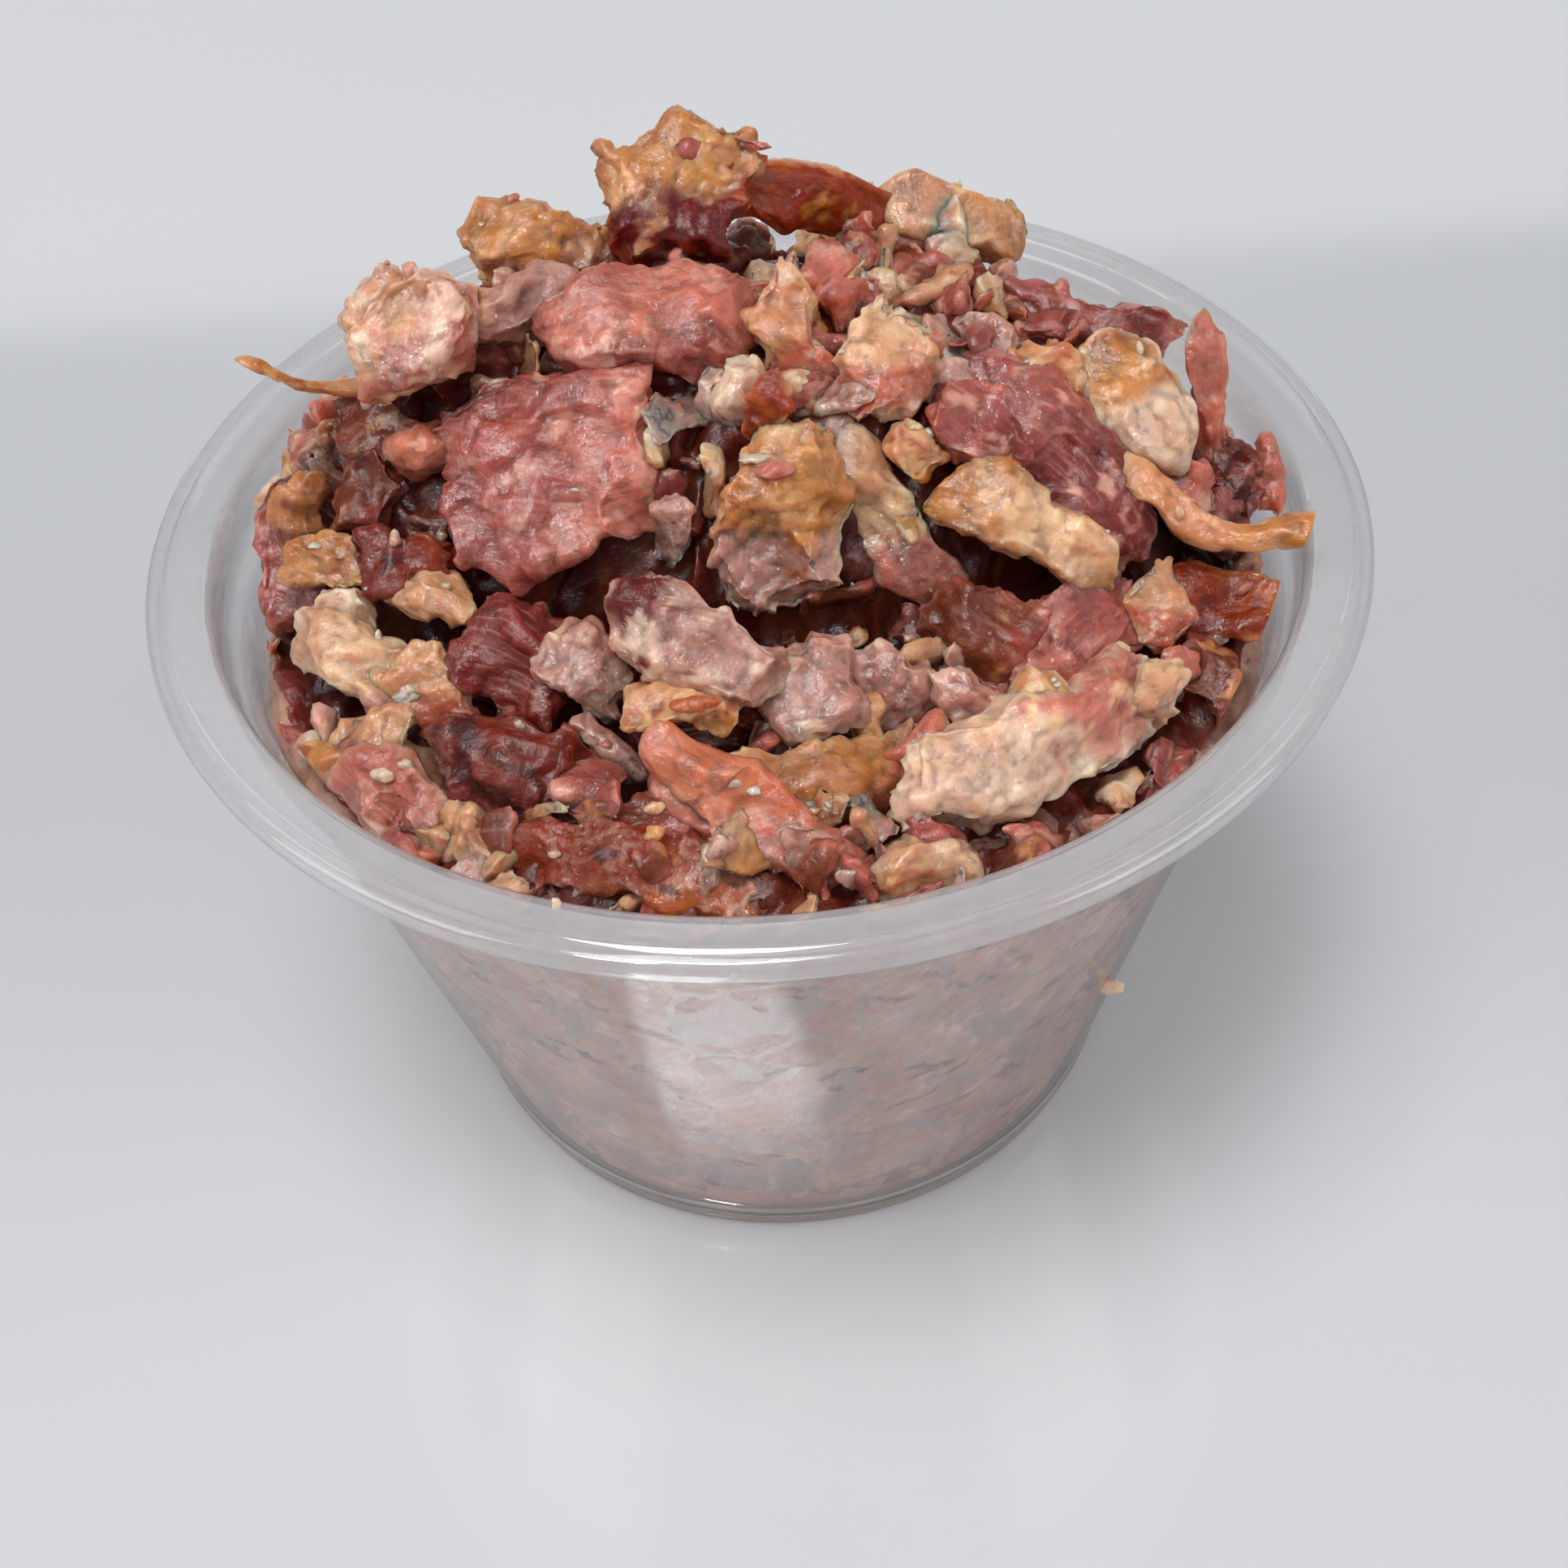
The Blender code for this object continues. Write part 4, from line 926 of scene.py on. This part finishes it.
def tree_of(surfaces):
    """A search tree over surfaces, to find what lies under or over a point."""
    whole = joined(surfaces)
    return BVHTree.FromPolygons(whole.points.tolist(), whole.quads.tolist())


def open_to_sky(tree, point):
    """True if nothing covers the point from above, from the front or from one of the sides."""
    for way in ((0, 0, 1), (0, -0.7, 0.7), (-0.6, -0.3, 0.7), (0.6, -0.3, 0.7), (0, 0.7, 0.7)):
        if tree.ray_cast(point, way, 25.0)[0] is None:
            return True
    return False


def top_at(tree, x, y):
    """The highest point of the heap at a place, or None where there is nothing."""
    return tree.ray_cast((x, y, SKY), (0, 0, -1))[0]


def random_chunk(ceiling, draw, seed):
    """A small chunk over the core and under the tops of the pieces around it, and the lowest
    that it could lie."""
    radius = CHUNK_FIELD * math.sqrt(draw.uniform())
    angle = draw.uniform(0, 2 * math.pi)
    x, y = radius * math.cos(angle), radius * math.sin(angle)
    low = float(core_top(x, y)) - CHUNK_SINK
    roof = float(ceiling[cell_of(np.array([[x, y]]))][0]) - CHUNK_COVER
    high = max(low + 0.8, min(low + CHUNK_RISE, roof))
    at = Vector((x, y, low + (high - low) * draw.uniform()))
    size = [draw.uniform(*sizes) for sizes in (CHUNK_LENGTH, CHUNK_WIDTH, CHUNK_THICKNESS)]
    kind = CHUNK_KINDS[draw.integers(len(CHUNK_KINDS))]
    face = draw.normal(size=3) * 0.7 + np.array(FRONT)
    return Bit(f"chunk_{seed}", kind, size, tuple(at), draw.normal(size=3), face), low


def fits_gap(tree, at, low):
    """True if a chunk at a point lies in an open gap, on the core or against another piece."""
    over = top_at(tree, at[0], at[1])
    if over is not None and over.z >= min(at[2] + CHUNK_SHOW, low + CHUNK_RISE):
        return False
    held = at[2] < low + CHUNK_LIFT or tree.find_nearest(at)[3] < CHUNK_HOLD
    return held and open_to_sky(tree, (at[0], at[1], at[2] + 0.8))


def make_chunks(tree, ceiling, draw):
    """Small chunks that fill the gaps between the placed pieces, with their seeds."""
    chunks = []
    for seed in range(CHUNK_DRAW, CHUNK_DRAW + CHUNK_TRIES * CHUNKS):
        bit, low = random_chunk(ceiling, draw, seed)
        if len(chunks) < CHUNKS and fits_gap(tree, bit.at, low):
            chunks.append((bit, seed))
    return chunks


def ceiling_of(surfaces):
    """A map of the heap's highest points, each one spread to the cells around it."""
    count = round(2 * RIM_RADIUS / CEILING_CELL)
    highest = np.zeros((count, count))
    for surface in surfaces:
        np.maximum.at(highest, cell_of(surface.points), surface.points[:, 2])
    wide = highest.copy()
    total = np.zeros_like(highest)
    steps = range(-CEILING_REACH, CEILING_REACH + 1)
    for across in steps:
        for ahead in steps:
            if math.hypot(across, ahead) <= CEILING_REACH:
                wide = np.maximum(wide, np.roll(highest, (across, ahead), (0, 1)))
    for across in steps:
        for ahead in steps:
            total += np.roll(wide, (across, ahead), (0, 1))
    return total / len(steps) ** 2


def gap_shaded(surface, ceiling, most):
    """The same surface, painted darker where it lies deep in a gap, as the shade that falls there."""
    depth = ceiling[cell_of(surface.points)] - surface.points[:, 2]
    return surface._replace(tint=toward(surface.tint, GAP_SHADE_DARK, most * step_up(depth, *GAP_SHADE_DEPTH)))


def crumb(at, size, colour, seed):
    """One crumb that rests on a point."""
    size = np.array(size)
    cells = round(max(4, size.max() / 0.16))
    points, quads = block((cells, cells, cells))
    points = cut_flat(unit(points) * size / 2, size, seed)
    points *= 1 + 0.4 * grain(points, 0.5 * size.mean(), seed)[:, None]
    points = points + np.array(at) + np.array([0, 0, 0.25 * size[2]])
    tint = np.tile(colour, (len(points), 1)) * (1 + 0.15 * grain(points, 0.6, seed))[:, None]
    return Surface(points, quads, tint, points.copy(), np.zeros(len(points)))


def make_crumbs(tree, draw):
    """Crumbs on top of the pieces: the ones that the photograph shows, then scattered ones."""
    surfaces = []
    for (x, y), size, colour in MORSELS:
        found = top_at(tree, x, y)
        if found is None or found.z < LOWEST_CRUMB:
            found = (x, y, CUP_HEIGHT)
        surfaces.append(crumb(found, size, colour, len(surfaces)))
    surfaces.append(crumb(*STUCK, len(surfaces)))
    while len(surfaces) < CRUMBS:
        radius = CRUMB_FIELD * math.sqrt(draw.uniform())
        angle = draw.uniform(0, 2 * math.pi)
        found = top_at(tree, radius * math.cos(angle), radius * math.sin(angle))
        size = (0.25 + 0.6 * draw.uniform() ** 3) * draw.uniform(0.4, 1.6, size=3)
        colour = CRUMB_COLOURS[draw.integers(len(CRUMB_COLOURS))]
        if found is not None and found.z >= LOWEST_CRUMB:
            surfaces.append(crumb(found, size, colour, len(surfaces)))
    return surfaces


def add(tree, kind, inputs=None, **settings):
    """A new shader node with its settings made, and its inputs set or linked."""
    node = tree.nodes.new("ShaderNode" + kind)
    for key, value in settings.items():
        setattr(node, key, value)
    for key, value in (inputs or {}).items():
        if isinstance(value, bpy.types.NodeSocket):
            tree.links.new(value, node.inputs[key])
        else:
            node.inputs[key].default_value = value
    return node


def blank(name):
    """A material with only a Principled shader, its node tree and that shader."""
    material = bpy.data.materials.new(name)
    material.use_nodes = True
    tree = material.node_tree
    return material, tree, tree.nodes["Principled BSDF"]


def noise(tree, place, length, detail=2.0, rough=0.5):
    """Noise of 0 to 1 with blobs of about the given length in millimetres."""
    inputs = {"Vector": place, "Scale": 1 / (length * MM), "Detail": detail, "Roughness": rough}
    return add(tree, "TexNoise", inputs).outputs["Fac"]


def ranged(tree, value, low, high, new_low=0.0, new_high=1.0):
    """A value of low to high moved to the new range, and held inside it."""
    inputs = {"Value": value, "From Min": low, "From Max": high, "To Min": new_low, "To Max": new_high}
    return add(tree, "MapRange", inputs).outputs["Result"]


def blended(tree, share, first, second, blend="MIX"):
    """Two colours mixed by a share of 0 to 1."""
    node = add(tree, "Mix", {0: share, 6: first, 7: second}, data_type="RGBA", blend_type=blend)
    return node.outputs[2]


def computed(tree, operation, first, second=0.0):
    """The sum, product or the like of two values."""
    return add(tree, "Math", {0: first, 1: second}, operation=operation).outputs[0]


def stored(tree, name, output):
    """A value that the mesh keeps for each of its points."""
    return add(tree, "Attribute", attribute_name=name).outputs[output]


def bumped(tree, height, strength, distance):
    """A surface's direction, tilted by a height of up to the given millimetres."""
    inputs = {"Height": height, "Strength": strength, "Distance": distance * MM}
    return add(tree, "Bump", inputs).outputs[0]


def mottled(tree, place, tint):
    """The meat's tint with fine and broad mottling."""
    mottle = ranged(tree, noise(tree, place, 0.9, 4.0), 0.35, 0.65)
    colour = blended(tree, 1.0, tint, blended(tree, mottle, *FINE_MOTTLE), "MULTIPLY")
    cloud = ranged(tree, noise(tree, place, 4.0, 3.0), 0.38, 0.62)
    return blended(tree, 1.0, colour, blended(tree, cloud, *BROAD_MOTTLE), "MULTIPLY")


def streaked(tree, colour, strength):
    """The colour with paler fibres along the piece."""
    own = stored(tree, "flat", "Vector")
    along = add(tree, "Mapping", {"Vector": own, "Scale": (0.12, 1.0, 1.0)}).outputs[0]
    thread = add(tree, "TexNoise", {"Vector": along, "Scale": 2.6, "Detail": 3.0}).outputs["Fac"]
    return blended(tree, ranged(tree, thread, 0.54, 0.72, 0.0, strength), colour, STREAK)


def frosted(tree, place, colour, value, frost):
    """The colour with patches of frosty bloom and painted glints, tiny near-white specks that stand for
    glints of light, but not on dark meat.
    """
    light = ranged(tree, value, 0.03, 0.12)
    patch = ranged(tree, noise(tree, place, 3.0, 4.0), 0.45, 0.65, 0.1 * frost, frost)
    patch = computed(tree, "MULTIPLY", patch, light)
    bloom = ranged(tree, noise(tree, place, 0.5, 4.0), 0.35, 0.7, 0.0, 0.8)
    colour = blended(tree, computed(tree, "MULTIPLY", bloom, patch), colour, BLOOM)
    # painted glints: sparse near-white specks in the colour, standing in for glints of light
    glint_specks = ranged(tree, noise(tree, place, 0.24, 1.0), 0.65, 0.71)
    return blended(tree, computed(tree, "MULTIPLY", glint_specks, patch), colour, GLINT_WHITE)


def make_meat(name, rough, wet, frost, streaks=0.0, waxy=0.5, glow=1.4):
    """Fried meat or fat: its own tint, mottling, streaks, painted shade in its creases, a frosty bloom,
    painted glints and an oily gloss.
    """
    material, tree, shader = blank(name)
    place = add(tree, "TexCoord").outputs["Object"]
    tint = stored(tree, "tint", "Color")
    value = add(tree, "RGBToBW", {"Color": tint}).outputs[0]
    colour = mottled(tree, place, tint)
    if streaks:
        colour = streaked(tree, colour, streaks)
    # painted shade: the colour pulled towards a dark red where the surface lies in a crease
    dark = computed(tree, "MULTIPLY", ranged(tree, stored(tree, "crease", "Fac"), 0.6, 1.0), 0.4)
    colour = frosted(tree, place, blended(tree, dark, colour, CREASE_SHADE), value, frost)
    gloss = ranged(tree, noise(tree, place, 1.4, 3.0), 0.35, 0.65, rough - 0.16, rough + 0.16)
    tree.links.new(colour, shader.inputs["Base Color"])
    tree.links.new(gloss, shader.inputs["Roughness"])
    tree.links.new(ranged(tree, value, 0.02, 0.14, 0.0, wet), shader.inputs["Coat Weight"])
    skin = bumped(tree, noise(tree, place, 0.5, 4.0, 0.6), 0.5, 0.25)
    tree.links.new(skin, shader.inputs["Normal"])
    beads = bumped(tree, noise(tree, place, 0.5, 4.0, 0.55), 0.8, 0.35)
    tree.links.new(beads, shader.inputs["Coat Normal"])
    shader.inputs["Specular IOR Level"].default_value = 0.25
    shader.inputs["Coat Roughness"].default_value = 0.1
    shader.inputs["Subsurface Weight"].default_value = waxy
    shader.inputs["Subsurface Scale"].default_value = glow * MM
    shader.inputs["Subsurface Radius"].default_value = (1.0, 0.42, 0.24)
    return material


def make_materials():
    """The surface of each kind of bacon."""
    return {
        "lean": make_meat("cured_lean", 0.36, 0.6, 0.2, streaks=0.35, waxy=0.7, glow=1.8),
        "pink": make_meat("pink_meat", 0.36, 0.5, 0.3, streaks=0.25, waxy=0.75, glow=2.0),
        "fat": make_meat("cooked_fat", 0.30, 0.65, 0.4, waxy=0.9, glow=2.4),
        "mixed": make_meat("fat_and_lean", 0.34, 0.55, 0.25, streaks=0.15, waxy=0.75, glow=2.0),
        "marbled": make_meat("marbled_meat", 0.36, 0.5, 0.7, waxy=0.6, glow=1.5),
        "brown": make_meat("browned_meat", 0.36, 0.5, 0.15, streaks=0.15, waxy=0.6, glow=1.6),
        "crust": make_meat("fried_crust", 0.34, 0.6, 0.25, waxy=0.75, glow=2.0),
        "rind": make_meat("browned_rind", 0.26, 0.4, 0.0, streaks=0.1, waxy=0.7, glow=1.8),
        "char": make_meat("charred_meat", 0.34, 0.5, 0.8, streaks=0.1, waxy=0.3, glow=0.9),
        "grey": make_meat("soft_fat", 0.28, 0.7, 0.5, waxy=0.85, glow=2.2),
    }


def make_bacon():
    """Every piece of the heap, joined kind by kind."""
    placed, loose = [], []
    for seed, bit in enumerate(PLACED + BEDS + loose_bits()):
        if bit in PLACED:
            placed.append((bit.kind, sculpted(bit, seed, FINE)))
        elif not bit.name.startswith("wall_"):
            loose.append((bit.kind, sculpted(bit, seed, MEDIUM)))
    draw = np.random.default_rng(SEED)
    tree = tree_of([surface for _, surface in placed + loose])
    ceiling = ceiling_of([surface for _, surface in placed + loose])
    for bit, seed in make_chunks(tree, ceiling, draw):
        loose.append((bit.kind, sculpted(bit, seed, COARSE)))
    crumbs = make_crumbs(tree_of([surface for _, surface in placed + loose]), draw)
    materials = make_materials()
    for kind, material in materials.items():
        surfaces = [gap_shaded(surface, ceiling, PLACED_GAP_SHADE) for own, surface in placed if own == kind]
        surfaces += [gap_shaded(surface, ceiling, LOOSE_GAP_SHADE) for own, surface in loose if own == kind]
        shown(f"bacon_{kind}", joined(surfaces), material, "bacon_heap")
    shown("bacon_crumbs", joined(crumbs), materials["mixed"], "bacon_heap")
    make_contents(make_meat("meat_in_cup", 0.5, 0.1, 0.4, waxy=0.2))
    make_core(materials["crust"], ceiling)


def beside(radius, height, offsets):
    """The points of a section that lie at the given offsets from one of its corners."""
    return [(radius + out, height + up) for out, up in offsets]


def cup_profile():
    """The cup's closed section as (radius, height), up the inside and down the outside."""
    lip = RIM_RADIUS - LIP_WIDTH
    step = CUP_HEIGHT - STEP_DROP
    below_step = lip - 2 * STEP_WIDTH
    floor = FOOT_HEIGHT + WALL
    corner = [(-1.4, 0), (-0.7, 0.2), (-0.2, 0.7)]
    section = [(0.0, floor), (12.0, floor)] + beside(inner_radius(floor), floor, corner)
    rises = [floor + 1.8, *np.linspace(floor + 4, step - 1.0, 12)]
    section += [(inner_radius(height), height) for height in rises]
    section += beside(below_step, step, [(0, -0.5), (0.25, -0.15), (STEP_WIDTH, 0)])
    section += beside(lip, step, [(-0.55, 0.4), (-0.42, 1.6)])
    section += beside(lip, CUP_HEIGHT, [(-0.3, -0.8), (-0.05, -0.25), (0.25, -0.02), (0.7, 0.04)])
    section += beside(lip, CUP_HEIGHT, [(1.4, -0.04), (2.1, -0.06), (2.35, 0.06), (2.6, -0.08), (2.8, -0.1)])
    section += beside(RIM_RADIUS, CUP_HEIGHT, [(-0.55, 0.1), (-0.3, 0.08), (-0.08, -0.12), (0, -0.4)])
    section += beside(RIM_RADIUS, CUP_HEIGHT, [(0.05, -0.75), (-0.05, -1.15), (-0.2, -SKIRT_DROP)])
    section += [(RIM_RADIUS - WALL, CUP_HEIGHT - SKIRT_DROP + 0.1)]
    under = CUP_HEIGHT - WALL
    section += beside(RIM_RADIUS - WALL, under, [(-0.05, -0.4), (-0.4, -0.05)])
    section += beside(lip, under, [(1.4, -0.05), (0.5 * WALL, 0), (0.05, -0.5)])
    section += beside(lip - STEP_WIDTH + WALL, step, [(0.2, 0.8), (0, 0)])
    section += beside(below_step + WALL, step - WALL, [(0.1, 0), (0, -0.3)])
    for share in np.linspace(0.06, 0.94, 12):
        radius = below_step + WALL + (FOOT_RADIUS - below_step - WALL) * share
        section.append((radius, (step - WALL - 0.3) * (1 - share) + 0.6 * share))
    bead = [(0.42, 2.45), (0.58, 2.2), (0.56, 1.95), (0.26, 1.7)]
    sole = [(0, 0.6), (-0.1, 0.2), (-0.35, 0), (-1.3, 0), (-1.6, 0.2)]
    section += beside(FOOT_RADIUS, 0.0, bead + sole)
    section += beside(FOOT_RADIUS, FOOT_HEIGHT, [(-2.0, -0.1), (-2.4, 0)])
    return section + [(0.0, FOOT_HEIGHT)]


def by_height(tree, height, band, below, above):
    """A value that goes from one number to another over a band of heights in millimetres."""
    return ranged(tree, height, band[0] * MM, band[1] * MM, below, above)


def cloudiness(tree, place, height):
    """How cloudy the plastic is: stained at the foot, with a thin line of white haze just above it painted
    as a highlight, clear by the step and hazy in the lip.
    """
    # painted highlight: white haze in a thin band at the bright line's height
    away = computed(tree, "SUBTRACT", height, LINE_HEIGHT * MM)
    away = computed(tree, "ABSOLUTE", away)
    total = by_height(tree, away, LINE_FADE, 0.5, 0.0)
    bands = ((STEP_HEIGHTS, 0.13, 0.06), (LIP_HEIGHTS, 0.04, 0.25), (STAIN_HEIGHTS, 0.6, 0.0))
    for band, below, above in bands:
        total = computed(tree, "ADD", total, by_height(tree, height, band, below, above))
    smear = ranged(tree, noise(tree, place, 4.0, 4.0), 0.4, 0.65, 0.93, 1.07)
    return computed(tree, "MULTIPLY", total, smear)


def make_clear_plastic():
    """Thin clear plastic: see-through, glossy at a glancing angle, and a little cloudy."""
    material, tree, shader = blank("clear_plastic")
    tree.nodes.remove(shader)
    place = add(tree, "TexCoord").outputs["Object"]
    height = add(tree, "SeparateXYZ", {"Vector": place}).outputs["Z"]
    ripple = bumped(tree, noise(tree, place, 9.0, 2.0), 0.25, 0.4)
    facing = add(tree, "LayerWeight", {"Blend": 0.5, "Normal": ripple}).outputs["Facing"]
    steep = computed(tree, "POWER", facing, 3.0)
    tint = blended(tree, steep, PLASTIC_THIN, PLASTIC_THICK)
    clear = add(tree, "BsdfTransparent", {"Color": tint}).outputs[0]
    gloss = add(tree, "BsdfGlossy", {"Roughness": 0.06, "Normal": ripple}).outputs[0]
    milk = blended(tree, by_height(tree, height, HAZE_HEIGHTS, 0.0, 1.0), GREASY_HAZE, PALE_HAZE)
    cloud = add(tree, "BsdfDiffuse", {"Color": milk}).outputs[0]
    glow = add(tree, "BsdfTranslucent", {"Color": milk}).outputs[0]
    haze = add(tree, "MixShader", {0: 0.5, 1: cloud, 2: glow}).outputs[0]
    body = {0: cloudiness(tree, place, height), 1: clear, 2: haze}
    body = add(tree, "MixShader", body).outputs[0]
    glance = ranged(tree, steep, 0.0, 1.0, 0.08, 0.8)
    whole = add(tree, "MixShader", {0: glance, 1: body, 2: gloss}).outputs[0]
    tree.links.new(whole, tree.nodes["Material Output"].inputs["Surface"])
    return material


def make_cup():
    """The clear cup, as one turned shell."""
    points, quads = turned(cup_profile(), CUP_SIDES)
    surface = Surface(points, quads[:, ::-1], None, None, None)
    cup = shown("portion_cup", surface, make_clear_plastic(), "clear_cup")
    cup.data.set_sharp_from_angle(angle=math.radians(50))


def make_camera():
    """The camera, where the photograph was taken from."""
    data = bpy.data.cameras.new("camera")
    data.sensor_width = SENSOR
    data.lens = LENS
    data.clip_start = 0.01
    camera = bpy.data.objects.new("camera", data)
    right = np.array([1.0, 0.0, 0.0])
    up = np.array([0.0, math.sin(ELEVATION), math.cos(ELEVATION)])
    back = np.array([0.0, -math.cos(ELEVATION), math.sin(ELEVATION)])
    axes = Matrix(
        (
            right * math.cos(ROLL) - up * math.sin(ROLL),
            right * math.sin(ROLL) + up * math.cos(ROLL),
            back,
        )
    ).transposed()
    camera.matrix_world = Matrix.Translation(np.array(CAMERA_AT) * MM) @ axes.to_4x4()
    bpy.context.scene.collection.objects.link(camera)
    bpy.context.scene.camera = camera


def make_light(light):
    """A soft rectangular light that looks at a point."""
    data = bpy.data.lights.new(light.name, "AREA")
    data.shape = "RECTANGLE"
    data.size, data.size_y = light.size
    data.energy = light.power
    lamp = bpy.data.objects.new(light.name, data)
    lamp.location = light.place
    way = Vector(light.aim) - Vector(light.place)
    lamp.rotation_euler = way.to_track_quat("-Z", "Y").to_euler()
    lamp.visible_diffuse = light.diffuse
    lamp.visible_glossy = light.glossy
    bpy.context.scene.collection.objects.link(lamp)


def make_floor():
    """A plain pale glossy floor."""
    mesh = bpy.data.meshes.new("floor")
    corners = [(x * FLOOR_REACH, y * FLOOR_REACH, 0) for x, y in ((-1, -1), (1, -1), (1, 1), (-1, 1))]
    mesh.from_pydata(corners, [], [(0, 1, 2, 3)])
    material, _, shader = blank("floor")
    shader.inputs["Base Color"].default_value = FLOOR_COLOUR
    shader.inputs["Roughness"].default_value = 0.09
    shader.inputs["IOR"].default_value = 1.75
    mesh.materials.append(material)
    floor = bpy.data.objects.new("floor", mesh)
    bpy.context.scene.collection.objects.link(floor)


def make_stage():
    """The floor under soft studio light."""
    make_floor()
    for light in LIGHTS:
        make_light(light)
    world = bpy.data.worlds.new("studio")
    world.use_nodes = True
    world.node_tree.nodes["Background"].inputs["Color"].default_value = SKY_COLOUR
    world.node_tree.nodes["Background"].inputs["Strength"].default_value = SKY_STRENGTH
    bpy.context.scene.world = world
    bpy.context.scene.view_settings.view_transform = "Standard"


make_camera()
make_stage()
make_bacon()
make_cup()
